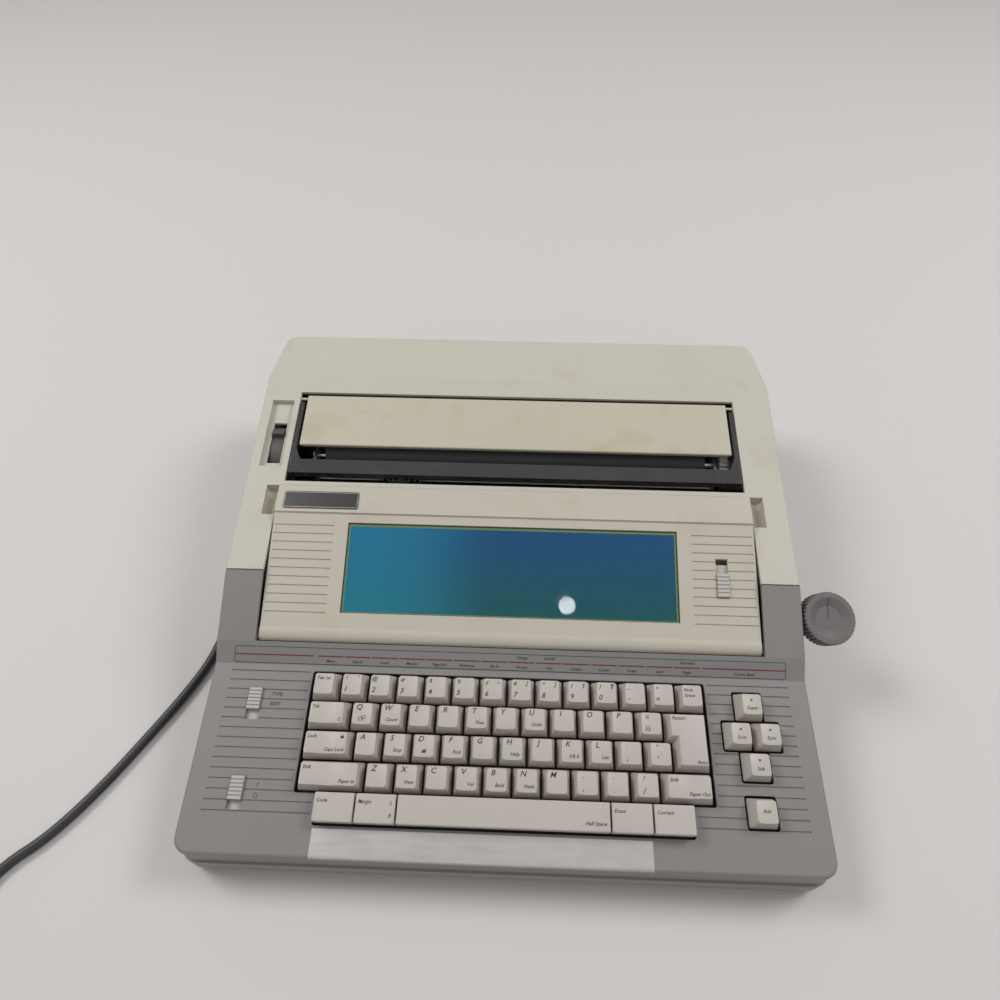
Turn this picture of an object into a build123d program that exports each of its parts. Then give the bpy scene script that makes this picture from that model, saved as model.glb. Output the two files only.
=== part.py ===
from build123d import *
import os
from math import cos, pi, radians, sin, sqrt, tan

# Electronic word processor: portable typewriter with a display lid, a daisy-wheel printer and a disk drive.
# Millimetres. +X to the typist's right, +Y to the rear, +Z up, standing on its rubber feet.
# Most places are given as (s, h): s up the sloping deck from its front edge, h square above its plane.

# ---- casing ----
WIDTH = 410.4            # side wall to side wall
DEPTH = 410.0            # front wall to rear wall
FRONT_HEIGHT = 40.0      # the deck's front edge above the table
DECK_TILT = 9.0          # degrees
FOOT_HEIGHT = 4.0
SEAM_Z = 21.0            # the lower case meets the upper shells here
WALL = 2.6
FRONT_LEAN = 3.0         # the front wall stands this far ahead of the deck's edge
LOWER_LIP = 1.4          # and the lower case this far ahead of the front wall
CORNER_R = 10.0          # upright corners
EDGE_R = 2.2             # along the top edges
BOTTOM_R = 3.0
SEAM_GAP = 0.8           # line between the deck and the rear cover

# ---- side outline of the casing, as (s, h) ----
FOLD = (116.5, 0.0)      # the flat deck ends and the label ramp starts
RAMP_TOP = (130.6, 7.4)
SHELL_SEAM = (178.7, 21.2)
KINK = (350.8, 29.2)     # highest line of the cover
REAR_DROP = 21.2         # from the kink down to the rear edge

# ---- feet, screws and bosses ----
FOOT_R = 9.0
FOOT_IN_X, FOOT_IN_Y = 25.2, 25.0    # foot centres, in from the walls
SCREW_IN_X, SCREW_IN_FRONT, SCREW_IN_REAR = 17.2, 17.0, 9.8
SCREW_R, HEAD_R, HEAD_T = 1.5, 3.2, 2.2
SCREW_REACH, CROSS = 14.0, (2.0, 0.4)
BOSS_R, BOSS_TOP, BOSS_SHELF = 5.5, 18.0, 3.0
POST_R = 4.5

# ---- fine lines moulded in the deck and in the lid ----
LINE_W, LINE_DEEP = 0.8, 0.6
DECK_LINES, LINES_S0, LINES_STEP, LINES_IN = 15, 22.0, 6.4, 13.4
LID_LINES, LID_LINES_S0, LID_LINES_STEP, LID_LINES_GAP = 11, 151.4, 6.23, 10.3

# ---- keyboard ----
PITCH = 19.05
BLOCK_HALF = 7 * PITCH   # the typing block is 14 key widths across
KEY_GAP = 1.1            # between neighbouring caps
KEY_RISE = 10.0          # cap top above the deck
KEY_SINK = 1.5           # cap skirt below the deck's surface
KEY_TOP_W, KEY_TOP_D = 12.6, 13.5
DISH, DISH_R = 0.7, 28.0
SPACE_ROW, SPACE_ROW_DEPTH, SPACE_ROW_GAP = 25.5, 17.0, 1.775
SHIFT_ROW = SPACE_ROW + SPACE_ROW_DEPTH / 2 + SPACE_ROW_GAP + (PITCH - KEY_GAP) / 2
ROW_S = tuple(SHIFT_ROW + i * PITCH for i in (3, 2, 1, 0))   # number row to shift row
ROW_5 = (0.75, 2.125, 3.5, 10.5, 11.875, 13.25)
ROW_5_NAMES = ("key_code", "key_margin", "space_bar", "key_erase", "key_correct")
ROW_5_GAP = 1.2
ROW_5_LEFT = -BLOCK_HALF + ROW_5[0] * PITCH
SPACE_STEM = 45.0
ROWS = {                 # character keys: first centre in key widths, how many, row
    "keys_number_row": (1.5, 12, 0),
    "keys_upper_row": (2.0, 11, 1),
    "keys_home_row": (2.25, 11, 2),
    "keys_lower_row": (2.75, 10, 3),
}
SIDE_KEYS = {            # left and right edge in key widths, row
    "key_tab_set": (0, 1, 0),
    "key_backspace": (13, 14, 0),
    "key_tab": (0, 1.5, 1),
    "key_lock": (0, 1.75, 2),
    "key_shift_left": (0, 2.25, 3),
    "key_shift_right": (12.25, 14, 3),
}
RETURN_TAPER = 2.7
CURSOR_X, CURSOR_S, ADVANCE_S = BLOCK_HALF + 29.55, 78.5, 31.9
CURSOR_BASE, CURSOR_CLEARANCE = PITCH - 1.45, 1.4
CURSOR_TOP_W, CURSOR_TOP_D = 12.3, 13.0
CURSOR_PLACES = {
    "key_cursor_up": (CURSOR_X, CURSOR_S + PITCH),
    "key_cursor_left": (CURSOR_X - PITCH / 2, CURSOR_S),
    "key_cursor_right": (CURSOR_X + PITCH / 2, CURSOR_S),
    "key_cursor_down": (CURSOR_X, CURSOR_S - PITCH),
    "key_advance": (CURSOR_X, ADVANCE_S),
}
STEM, STEM_CLEARANCE, STEM_LOW = 5.0, 0.25, 13.5
WELL_CLEARANCE, WELL_R = 1.65, 1.8
PLATE_DEPTH, PLATE_T = 9.0, 3.0      # key plate under the deck's plane
PLATE_S0, PLATE_S1 = SPACE_ROW - 12.5, ROW_S[0] + 13.1
PLATE_SIDE, PLATE_CURSOR_SIDE, PLATE_POST_R = 9.0, 21.5, 2.4

# ---- switches and sliders ----
SLOT_X, SLOT_W = 33.4 - WIDTH / 2, 9.0
MODE_SLOT, POWER_SLOT = (78.7, 100.2), (22.8, 43.3)
THUMB_L = 14.4
SLIDER_RISE, RIDGE, SLIDER_RIDGES = 2.0, 0.9, 6
FLANGE_GAP, FLANGE_T = 0.25, 1.4
CONTRAST_IN, CONTRAST_W = 24.4, 8.6  # from the lid's right end
CONTRAST_SLOT = (170.0, 197.4)
CONTRAST_THUMB = 16.5

# ---- display lid ----
CHEEK_W, LID_GAP = 29.2, 1.6         # from the side wall to the lid
LID_WIDTH = WIDTH - 2 * CHEEK_W
LID_FRONT, LID_FRONT_H = 132.2, 4.0
LID_FACE_0, LID_FACE_1 = (141.0, 8.5), (222.0, 27.0)
LID_STEP, LID_REAR = 222.6, 246.0    # the raised strip along the lid's rear
LID_STRIP_RISE = 1.6
LID_THICK, LID_WALL, BACK_T = 12.0, 2.2, 1.4
LID_PIVOT = (135.5, 3.0)
WINDOW_W, WINDOW_S0, WINDOW_S1 = 240.6, 151.8, 216.4
LCD_T, LCD_MARGIN, LENS_T = 4.0, 5.0, 1.2
BADGE_IN, BADGE_L, BADGE_S, BADGE_T = 5.6, 56.0, (225.8, 239.6), 0.7
PIN_R, PIN_CLEARANCE = 1.6, 0.06
FINGER_X, FINGER_DEPTH, FINGER_R = LID_WIDTH / 2 + 11.4, 8.0, 5.0

# ---- paper opening, smoked shield, paper support ----
OPENING_W, OPENING_S0, OPENING_S1 = LID_WIDTH - 2.0, 251.5, 334.0
SHIELD_W, SHIELD_BAR_S0, SHIELD_BAR_S1 = OPENING_W - 1.6, 259.5, 271.5
SHIELD_T, SHIELD_SKIRT, SHIELD_DROP = 2.0, 5.5, 0.6
ARM_FRONT_W, ARM_REAR_W, ARM_BACK = 8.0, 3.2, 3.2    # the arms end behind their pivot
SHIELD_PIVOT = (321.5, 22.0)
ARM_LUG = (5.0, 3.0, 3.4)            # the arm's lug ahead of, behind and under its pin
FLAP_W, FLAP_S0, FLAP_S1, FLAP_T, FLAP_LIP = SHIELD_W - 10.4, 284.7, 331.0, 2.6, 5.0
FLAP_EDGE_R, FLAP_PIN_R, FLAP_PIVOT_S, FLAP_PIVOT_DEPTH = 1.1, 1.1, 328.6, 2.2
FLAP_LIP_IN, FLAP_LIP_T = 1.2, 1.8
EAR_GAP, EAR_T, PIN_IN_EAR = 0.2, 3.0, 2.8           # lugs beside the opening that hold both pins

# ---- paper release lever ----
LEVER_X, LEVER_W, LEVER_SLOT_W = 16.9 - WIDTH / 2, 9.2, 10.6
RECESS_W, RECESS_S0, RECESS_S1, RECESS_DEPTH = 17.4, 264.2, 325.5, 4.0
LEVER_S0, LEVER_S1 = 269.0, 306.0
LEVER_EAR_GAP, LEVER_EAR_T = 0.4, 2.0
LEVER_PIVOT, LEVER_PIN_R = (287.5, -8.0), 2.0
APRON_R, APRON_T, APRON_HALF, RIDGE_UP, LEVER_RIDGE = 29.2, 2.0, 50, 4.5, (12, 24)   # angles in degrees
HUB_R, WEB_HALF = 5.0, 9

# ---- printer ----
PLATEN_R, PLATEN_L, SHAFT_R = 17.0, OPENING_W - 50.0, 4.0
PLATEN_TOP = 19.0        # the roller's top, under the paper support
PLATEN = (290.0, PLATEN_TOP - PLATEN_R)              # its axis
RUN_CLEARANCE = 0.05
FRAME_X, FRAME_T = PLATEN_L / 2 + 8.0, 2.5
FRAME_Y, FRAME_STEP_Y, FRAME_REAR_Y, FRAME_HEAD = (205.0, 262.0), 60.0, 318.0, (14.0, 9.0)
GEAR_MODULE, GEAR_TEETH, PINION_TEETH = 1.0, 30, 12
GEAR_FACE, GEAR_GAP, BACKLASH = 6.0, 2.0, 0.35
MESH_ANGLE = -60.0       # direction from the platen's axis to the motor's
MOTOR_R, MOTOR_L, MOTOR_SHAFT_R = 17.0, 26.0, 2.0
MOTOR_POSTS = ((-13.5, -13.5), (13.5, -13.5), (13.5, 13.5))
MOTOR_LUG_R, MOTOR_POST_R, MOTOR_STANDS, SHAFT_IN_MOTOR = 3.6, 2.0, 2.0, 12.0
PAN_GAP, PAN_T, PAN_ARC = 1.2, 1.0, (215, 371)
FRONT_RAIL, REAR_RAIL, RAIL_R = (218.0, 24.0), (250.0, 20.0), 4.0   # (y, z)
CARRIAGE_X = -90.0       # carriage at rest, near the left margin
CARRIAGE_HALF, CHEEK_T, BACK_HALF, BACK_PLATE_T = 32.0, 3.0, 28.0, 2.5
BED_AHEAD, BED_DOWN, BED_UP = 8.0, 6.5, 7.0          # the bed reaches past its rails by these
HAMMER_HALF, HAMMER_L, HAMMER_DOWN, HAMMER_UP, HAMMER_R = 6.0, 14.0, 5.5, 4.0, 1.5
WHEEL_R, WHEEL_FRONT, PETALS = 36.0, 11.0, 48
WHEEL_T, WHEEL_BACK, WHEEL_ROOT_R, WHEEL_HUB_R, WHEEL_SHAFT_R, WHEEL_BORE_R = 1.2, 4.4, 13.0, 9.0, 2.0, 4.0
PETAL_FOOT, PETAL_TIP = 0.3, 0.2                     # half widths, as shares of the petals' spacing
WHEEL_MOTOR_R, WHEEL_MOTOR_L = 16.5, 34.0
CASSETTE_HALF, CASSETTE_AHEAD, CASSETTE_Z, CASSETTE_H, CASSETTE_R = 46.0, 10.0, 70.0, 10.0, 4.0
CASSETTE_ARM = (38.0, 45.0)

# ---- boards and disk drive ----
BOARD_T, STANDOFF, STANDOFF_R, STANDOFF_IN = 1.6, 4.0, 2.5, 5.0
MAIN_BOARD = (137.0, 120.0, -85.0, 9.0)    # width, depth, left edge, rear edge ahead of the rear wall
CHIPS = ((25, 22, 38, 14), (25, 52, 38, 14), (80, 27, 24, 24), (80, 67, 44, 14), (110, 97, 30, 10))
CHIP_H = 3.6                               # chips: centre from the board's corner, width, depth
SUPPLY_W, SUPPLY_D, SUPPLY_SIDE, SUPPLY_REAR = 98.0, 68.0, 11.2, 23.0
COIL_BLOCK, CORE_BLOCK = (8, 56, 12, 52, 0, 40), (14, 50, 4, 60, 7, 33)
CAPACITORS, CAPACITOR_R, CAPACITOR_H = ((86, 20), (68, 20)), 8.0, 28.0
HEAT_SINK = (62, 92, 54, 58, 0, 30)
DRIVE_L, DRIVE_W, DRIVE_H = 145.0, 101.6, 25.4
DRIVE_REAR, DRIVE_Z, DRIVE_GAP = 15.9, 23.0, 0.5
DRIVE_POST_IN = (15.0, 8.0)
DISK_SLOT_DOWN, FINGER_NOTCH = 9.0, (4.0, 28.0, 4.0)
DISK_DEPTH, DISK_W, DISK_H = 94.0, 91.0, 4.4
BUTTON_W, BUTTON_H, BUTTON_GAP, BUTTON_TRAVEL, BUTTON_PROUD = 11.0, 5.6, 0.3, 3.0, 2.5
BUTTON_HOLE, BUTTON_IN, BUTTON_UP = 9.0, 14.0, 5.5

# ---- knob on the right wall ----
KNOB_R, KNOB_T = 18.6, 12.0
KNOB_CENTRE = (WIDTH / 2 + 20.2, 154.5, 77.0)   # centre of its face
KNOB_LEAN_Y, KNOB_LEAN_X = 23.5, 5.0 # the face leans to the typist and a little outwards, degrees
KNOB_TEETH, KNOB_GROOVE = 40, 0.75
KNOB_DISH, KNOB_DISH_R0, KNOB_DISH_TAPER = 3.0, 9.0, 62.0
SPINDLE_R, SPINDLE_L = 3.0, 11.0
LUG_R, LUG_L = 9.5, 14.0

# ---- mains cord ----
CORD_NODES = ("power_cord", "cord_coil", "mains_plug", "strain_relief")
CORD_R, CORD_LIE = 3.5, 3.6          # half its thickness, and its centre line's height on the table
CORD_EXIT = (-150.0, 30.0)           # x and z on the rear wall
RELIEF_R, RELIEF_L, RELIEF_RINGS = 7.0, 34.0, 7
RELIEF_HEAD, RELIEF_COLLAR, RING_W = (4.0, 2.5), 3.0, 1.4   # head inside the wall: length, extra radius
COIL_CENTRE, COIL_R = (-384.0, -48.0), 46.0
COIL_PITCH = 8.8         # from turn to turn, and from layer to layer
COIL_QUARTERS = 8        # quarter turns in each of the two layers
TAIL_L, PLUG_LIE = 36.0, 0.1         # the cord comes down from the coil to the plug, which lies flat
PLUG_W, PLUG_H, PRONG_GAP = 26.0, 19.0, 12.7
PLUG_NECK, PLUG_NECK_R, PLUG_SHOULDER, PLUG_L, PLUG_R = (12.0, 10.0), 3.0, (10.0, 32.0), 40.0, 4.0
PRONG_T, PRONG_W, PRONG_L = 1.5, 6.4, 17.0
CORD_ROUTE = (
    (CORD_EXIT[0], 441.0, CORD_EXIT[1]),
    (CORD_EXIT[0], 457.0, CORD_EXIT[1]),
    (-152.0, 474.0, 25.0),
    (-160.0, 490.0, 14.5),
    (-174.0, 503.0, 5.5),
    (-194.0, 504.0, CORD_LIE),
    (-215.0, 494.0, CORD_LIE),
    (-229.0, 474.0, CORD_LIE),
    (-238.0, 444.0, CORD_LIE),
    (-243.0, 405.0, CORD_LIE),
    (-241.5, 358.0, CORD_LIE),
    (-236.0, 308.0, CORD_LIE),
    (-229.0, 256.0, CORD_LIE),
    (-226.5, 205.0, CORD_LIE),
    (-231.0, 148.0, CORD_LIE),
    (-243.5, 116.0, CORD_LIE),
    (-262.0, 80.0, CORD_LIE),
    (-283.0, 42.0, CORD_LIE),
    (-306.0, 10.0, CORD_LIE),
    (-328.0, -8.0, CORD_LIE),
    (-338.0, -30.0, CORD_LIE),
    (COIL_CENTRE[0] + COIL_R, COIL_CENTRE[1], CORD_LIE),
)

PARTS = {}
HALF = WIDTH / 2
INSIDE = HALF - WALL
FRONT_Y = -FRONT_LEAN
REAR_Y = FRONT_Y + DEPTH
DECK = Location((0, 0, FRONT_HEIGHT), (DECK_TILT, 0, 0))
SIDES = (-1, 1)
FOOT_PLACES = [(side * (HALF - FOOT_IN_X), y) for y in (FRONT_Y + FOOT_IN_Y, REAR_Y - FOOT_IN_Y)
               for side in SIDES]
SCREW_PLACES = [(side * (HALF - SCREW_IN_X), y) for y in (FRONT_Y + SCREW_IN_FRONT, REAR_Y - SCREW_IN_REAR)
                for side in SIDES]
DRIVE_Y = REAR_Y - DRIVE_REAR - DRIVE_W
DRIVE_POSTS = [(x, y) for x in (HALF - DRIVE_L + DRIVE_POST_IN[0], HALF - DRIVE_POST_IN[0])
               for y in (DRIVE_Y + DRIVE_POST_IN[1], DRIVE_Y + DRIVE_W - DRIVE_POST_IN[1])]
COVER_SLOPE = (KINK[1] - SHELL_SEAM[1]) / (KINK[0] - SHELL_SEAM[0])
FACE_SLOPE = (LID_FACE_1[1] - LID_FACE_0[1]) / (LID_FACE_1[0] - LID_FACE_0[0])
CHEEK_SLOPE = (SHELL_SEAM[1] - RAMP_TOP[1]) / (SHELL_SEAM[0] - RAMP_TOP[0])


def up(s, h):
    """World (y, z) of a point s up the deck and h above its plane."""
    a = radians(DECK_TILT)
    return s * cos(a) - h * sin(a), FRONT_HEIGHT + s * sin(a) + h * cos(a)


def cover_h(s):
    """Height of the cover's top surface above the deck's plane."""
    return SHELL_SEAM[1] + (s - SHELL_SEAM[0]) * COVER_SLOPE


def face_h(s):
    """Height of the lid's sloping face above the deck's plane."""
    return LID_FACE_0[1] + (s - LID_FACE_0[0]) * FACE_SLOPE


def flap_pivot():
    """Axis of the paper support's hinge, as (s, h)."""
    return FLAP_PIVOT_S, cover_h(FLAP_PIVOT_S) - FLAP_PIVOT_DEPTH


def strip_h(s):
    """Height of the raised strip along the lid's rear above the deck's plane."""
    return LID_FACE_1[1] + LID_STRIP_RISE + (s - LID_STEP) * COVER_SLOPE


def cheek_h(s):
    """Height of the cheeks beside the lid above the deck's plane."""
    return RAMP_TOP[1] + (s - RAMP_TOP[0]) * CHEEK_SLOPE


def box(x0, x1, y0, y1, z0, z1):
    """A block given by its limits."""
    return Pos((x0 + x1) / 2, (y0 + y1) / 2, (z0 + z1) / 2) * Box(x1 - x0, y1 - y0, z1 - z0)


def on_deck(shape):
    """Carry a shape drawn in the deck's own frame (x, s, h) to its place."""
    return DECK * shape


def slab(points, x0, x1):
    """A prism along X from an outline in (s, h), drawn in the deck's frame."""
    face = make_face(Polyline(*[(x0, s, h) for s, h in points], close=True))
    return extrude(face, x1 - x0, dir=(1, 0, 0))


def rod(p, q, r):
    """A round bar from p to q."""
    axis = Vector(*q) - Vector(*p)
    return extrude(Plane(origin=p, z_dir=axis.normalized()) * Circle(r), axis.length)


def keep(name, *shapes):
    """Store a piece; several solids under one name are a group of like pieces."""
    PARTS[name] = list(shapes)


# ---------------------------------------------------------------- casing
def casing_block(inset, lip=0.0):
    """The closed outer form of the casing, or its inside when inset by the wall."""
    y_front, y_rear = FRONT_Y - lip + inset, REAR_Y - inset
    slope = tan(radians(DECK_TILT))
    rear_h = KINK[1] - REAR_DROP - inset
    rear_s = (y_rear + rear_h * sin(radians(DECK_TILT))) / cos(radians(DECK_TILT))
    outline = [(y_front, FOOT_HEIGHT + inset), (y_front, up(0, -inset)[1] + slope * y_front)]
    outline += [up(s, h - inset) for s, h in (FOLD, RAMP_TOP, SHELL_SEAM, KINK)]
    outline += [up(rear_s, rear_h), (y_rear, FOOT_HEIGHT + inset)]
    face = make_face(Polyline(*[(0, y, z) for y, z in outline], close=True))
    side_view = extrude(face, HALF - inset, dir=(1, 0, 0), both=True)
    plan = RectangleRounded(WIDTH - 2 * inset, y_rear - y_front, CORNER_R - inset)
    return side_view & Pos(0, (y_front + y_rear) / 2, 0) * extrude(plan, 250)


def top_edges(block):
    """Edges that run round the top of the casing block, above the seam."""
    found = []
    for edge in block.edges():
        c = edge.center()
        upright = abs(edge.tangent_at(0.5).Z) > 0.9
        outer = abs(c.X) > HALF - CORNER_R or c.Y < FRONT_Y + CORNER_R or c.Y > REAR_Y - CORNER_R
        if outer and not upright and c.Z > SEAM_Z + 5:
            found.append(edge)
    return found


def screw_posts(block):
    """Posts that hang from the upper shells down to the screw bosses of the lower case."""
    posts = []
    for x, y in SCREW_PLACES:
        post = Pos(x, y, BOSS_TOP) * extrude(Circle(POST_R), 200)
        hole = Pos(x, y, BOSS_TOP) * extrude(Circle(SCREW_R), SCREW_REACH)
        posts.append((post & block) - hole)
    return posts


def make_lower_case():
    """Tray with a floor, low walls, screw bosses, and posts that carry the disk drive."""
    low = box(-400, 400, -100, 600, 0, SEAM_Z)
    outer = casing_block(0, LOWER_LIP) & low
    outer = fillet([e for e in outer.edges() if abs(e.center().Z - FOOT_HEIGHT) < 0.1], BOTTOM_R)
    tray = outer - (casing_block(WALL, LOWER_LIP) & low)
    floor = FOOT_HEIGHT + WALL
    for x, y in SCREW_PLACES:
        tray += Pos(x, y, floor - 1) * extrude(Circle(BOSS_R), BOSS_TOP - floor + 1)
        tray -= Pos(x, y, 0) * extrude(Circle(HEAD_R + 0.3), BOSS_TOP - BOSS_SHELF)
        tray -= Pos(x, y, 0) * extrude(Circle(SCREW_R + 0.2), BOSS_TOP + 1)
    for x, y in DRIVE_POSTS:
        tray += Pos(x, y, floor - 1) * extrude(Circle(POST_R), DRIVE_Z - floor + 1)
    keep("lower_case", tray)


def well_cutters():
    """The holes in the deck that the keys stand in, drawn in the deck's frame."""
    cuts = []
    half = BLOCK_HALF + WELL_CLEARANCE
    base = (PITCH - KEY_GAP) / 2
    lowest, highest = ROW_S[3] - base - WELL_CLEARANCE, ROW_S[0] + base + WELL_CLEARANCE
    space_low = SPACE_ROW - SPACE_ROW_DEPTH / 2 - WELL_CLEARANCE
    row_5 = -BLOCK_HALF + ROW_5[0] * PITCH, -BLOCK_HALF + ROW_5[-1] * PITCH
    cuts.append(box(-half, half, lowest, highest, -20, 20))
    cuts.append(box(row_5[0] - 1.1, row_5[1] + 1.1, space_low, lowest + 2, -20, 20))
    reach = CURSOR_BASE / 2 + CURSOR_CLEARANCE
    up_down = PITCH + reach
    cuts.append(box(CURSOR_X - reach, CURSOR_X + reach, CURSOR_S - up_down, CURSOR_S + up_down, -20, 20))
    side = PITCH / 2 + reach
    cuts.append(box(CURSOR_X - side, CURSOR_X + side, CURSOR_S - reach, CURSOR_S + reach, -20, 20))
    cuts.append(box(CURSOR_X - reach, CURSOR_X + reach, ADVANCE_S - reach, ADVANCE_S + reach, -20, 20))
    return [fillet([e for e in c.edges() if abs(e.tangent_at(0.5).Z) > 0.9], WELL_R) for c in cuts]


def deck_grooves():
    """Fine lines across the deck, left and right of the keys, with an end line on each side."""
    lines = []
    well = BLOCK_HALF + WELL_CLEARANCE
    for i in range(DECK_LINES):
        s = LINES_S0 + i * LINES_STEP
        inner = well + 1.5 if s > ROW_S[3] - PITCH / 2 else -ROW_5_LEFT + 3
        for side in SIDES:
            ends = sorted((side * inner, side * (HALF - LINES_IN)))
            lines.append(box(*ends, s - LINE_W / 2, s + LINE_W / 2, -LINE_DEEP, 1))
    return lines


def make_keyboard_deck(rounded, hollow):
    """Grey front shell: flat deck with wells and fine lines, label ramp and two cheeks."""
    seam = SHELL_SEAM[0] - SEAM_GAP / 2
    shell = (rounded - hollow) & box(-400, 400, -100, 600, SEAM_Z, 300)
    shell &= on_deck(box(-400, 400, -100, seam, -200, 100))
    shell -= on_deck(lid_cutter())
    for cut in well_cutters() + deck_grooves():
        shell -= on_deck(cut)
    for s0, s1 in (MODE_SLOT, POWER_SLOT):
        shell -= on_deck(box(SLOT_X - SLOT_W / 2, SLOT_X + SLOT_W / 2, s0, s1, -20, 20))
    for side in SIDES:
        shell += on_deck(lid_ear(side))
    for post in screw_posts(rounded)[:2]:
        shell += post
    keep("keyboard_deck", shell)


def lid_cutter():
    """The opening that the display lid lies in."""
    half = LID_WIDTH / 2 + LID_GAP
    return box(-half, half, RAMP_TOP[0], LID_REAR + LID_GAP, -3, 80)


def lid_ear(side):
    """A lug under the cheek with the bore for the lid's pivot pin."""
    s, h = LID_PIVOT
    x0 = side * (LID_WIDTH / 2 + LID_GAP)
    x1 = x0 + side * 3
    ear = slab([(s - 4, h - 4), (s + 5, h - 4), (s + 5, cheek_h(s + 5) - 1), (s - 4, cheek_h(s - 4) - 1)],
               *sorted((x0, x1)))
    return ear - rod((x0 - side, s, h), (x1 + side, s, h), PIN_R + PIN_CLEARANCE)


def make_rear_cover(rounded, hollow):
    """Beige rear shell: paper opening, lid opening, lever recess, finger hollows, drive cut-out."""
    seam = SHELL_SEAM[0] + SEAM_GAP / 2
    shell = (rounded - hollow) & box(-400, 400, -100, 600, SEAM_Z, 300)
    shell &= on_deck(box(-400, 400, seam, 600, -200, 100))
    inside = casing_block(WALL / 2)
    for pad in (lever_pad(), finger_pad(-1), finger_pad(1)):
        shell += on_deck(pad) & inside
    for side in SIDES:
        shell += on_deck(hinge_ear(side, SHIELD_PIVOT, 5, 4) + hinge_ear(side, flap_pivot(), 3.5, 2.6))
    shell -= on_deck(lid_cutter())
    shell -= on_deck(box(-OPENING_W / 2, OPENING_W / 2, OPENING_S0, OPENING_S1, 10, 80))
    for cut in (lever_recess(), finger_hollow(-1), finger_hollow(1)):
        shell -= on_deck(cut)
    for side in SIDES:
        shell -= on_deck(ear_bore(side, SHIELD_PIVOT, PIN_R) + ear_bore(side, flap_pivot(), FLAP_PIN_R))
    for side in SIDES:
        shell += on_deck(lever_ear(side))
    y0, y1 = DRIVE_Y - DRIVE_GAP, DRIVE_Y + DRIVE_W + DRIVE_GAP
    shell -= box(INSIDE - 1, HALF + 1, y0, y1, DRIVE_Z - DRIVE_GAP, DRIVE_Z + DRIVE_H + DRIVE_GAP)
    x, z = CORD_EXIT
    shell -= rod((x, REAR_Y - 10, z), (x, REAR_Y + 1, z), RELIEF_R)
    for post in screw_posts(rounded)[2:]:
        shell += post
    keep("rear_cover", shell)


def below_cover(s0, s1, depth_0, depth_1, x0, x1):
    """A slab that follows the cover's slope between two depths under its top surface."""
    return slab([(s0, cover_h(s0) - depth_1), (s1, cover_h(s1) - depth_1),
                 (s1, cover_h(s1) - depth_0), (s0, cover_h(s0) - depth_0)], x0, x1)


def lever_pad():
    x, half = LEVER_X, RECESS_W / 2 + 2
    return below_cover(RECESS_S0 - 2, RECESS_S1 + 2, 1, RECESS_DEPTH + 2.4, x - half, x + half)


def lever_recess():
    """The shallow recess and the slot through its floor."""
    x, half, slot = LEVER_X, RECESS_W / 2, LEVER_SLOT_W / 2
    recess = below_cover(RECESS_S0, RECESS_S1, -20, RECESS_DEPTH, x - half, x + half)
    return recess + below_cover(LEVER_S0, LEVER_S1, -20, RECESS_DEPTH + 5, x - slot, x + slot)


def lever_ear(side):
    """A lug under the recess floor that holds one end of the lever's pin."""
    s, h = LEVER_PIVOT
    x0 = LEVER_X + side * (LEVER_SLOT_W / 2 + LEVER_EAR_GAP)
    x1 = x0 + side * LEVER_EAR_T
    low, high = h - 4, cover_h(s) - RECESS_DEPTH - 1
    ear = slab([(s - 5, low), (s + 5, low), (s + 5, high), (s - 5, high)], *sorted((x0, x1)))
    return ear - rod((x0 - side, s, h), (x1 + side, s, h), LEVER_PIN_R + PIN_CLEARANCE)


def finger_pad(side):
    x0, x1 = sorted((side * (LID_WIDTH / 2 + LID_GAP - 1), side * (FINGER_X + 2)))
    return below_cover(LID_STEP - 2, LID_REAR + 4, 1, FINGER_DEPTH + 2.2, x0, x1)


def finger_hollow(side):
    """The hollow beside the lid's strip that a fingertip lifts the lid from."""
    x0, x1 = sorted((side * (LID_WIDTH / 2 + 1), side * FINGER_X))
    hollow = below_cover(LID_STEP + 0.4, LID_REAR + LID_GAP, -20, FINGER_DEPTH, x0, x1)
    low_edges = [e for e in hollow.edges() if e.center().Z < cover_h(LID_STEP) - FINGER_DEPTH + 3
                 and abs(abs(e.center().X) - FINGER_X) < 0.1 and abs(e.tangent_at(0.5).Y) > 0.9]
    return fillet(low_edges, FINGER_R)


def hinge_ear(side, pivot, half, below):
    """A lug beside the paper opening, under the cover's top, that takes a hinge pin."""
    s, h = pivot
    x0, x1 = sorted((side * (OPENING_W / 2 + EAR_GAP), side * (OPENING_W / 2 + EAR_GAP + EAR_T)))
    top = [(s + half, cover_h(s + half) - WALL / 2), (s - half, cover_h(s - half) - WALL / 2)]
    return slab([(s - half, h - below), (s + half, h - below)] + top, x0, x1)


def ear_bore(side, pivot, pin_r):
    x0, x1 = OPENING_W / 2 - 1, OPENING_W / 2 + EAR_GAP + EAR_T + 1
    return rod((side * x0, *pivot), (side * x1, *pivot), pin_r + PIN_CLEARANCE)


def make_feet_and_screws():
    foot = Pos(0, 0, FOOT_HEIGHT / 2) * Cylinder(FOOT_R, FOOT_HEIGHT)
    foot = chamfer(foot.edges().sort_by(Axis.Z)[0], 0.6)
    keep("rubber_feet", *[Pos(x, y, 0) * foot for x, y in FOOT_PLACES])
    screws = []
    for x, y in SCREW_PLACES:
        shelf = BOSS_TOP - BOSS_SHELF
        head = Pos(x, y, shelf - HEAD_T) * extrude(Circle(HEAD_R), HEAD_T)
        shank = Pos(x, y, shelf) * extrude(Circle(SCREW_R), BOSS_SHELF + SCREW_REACH - 1)
        cross = [box(x - a, x + a, y - b, y + b, 0, shelf - 1) for a, b in (CROSS, CROSS[::-1])]
        screws.append(head + shank - cross)
    keep("case_screws", *screws)


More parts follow.
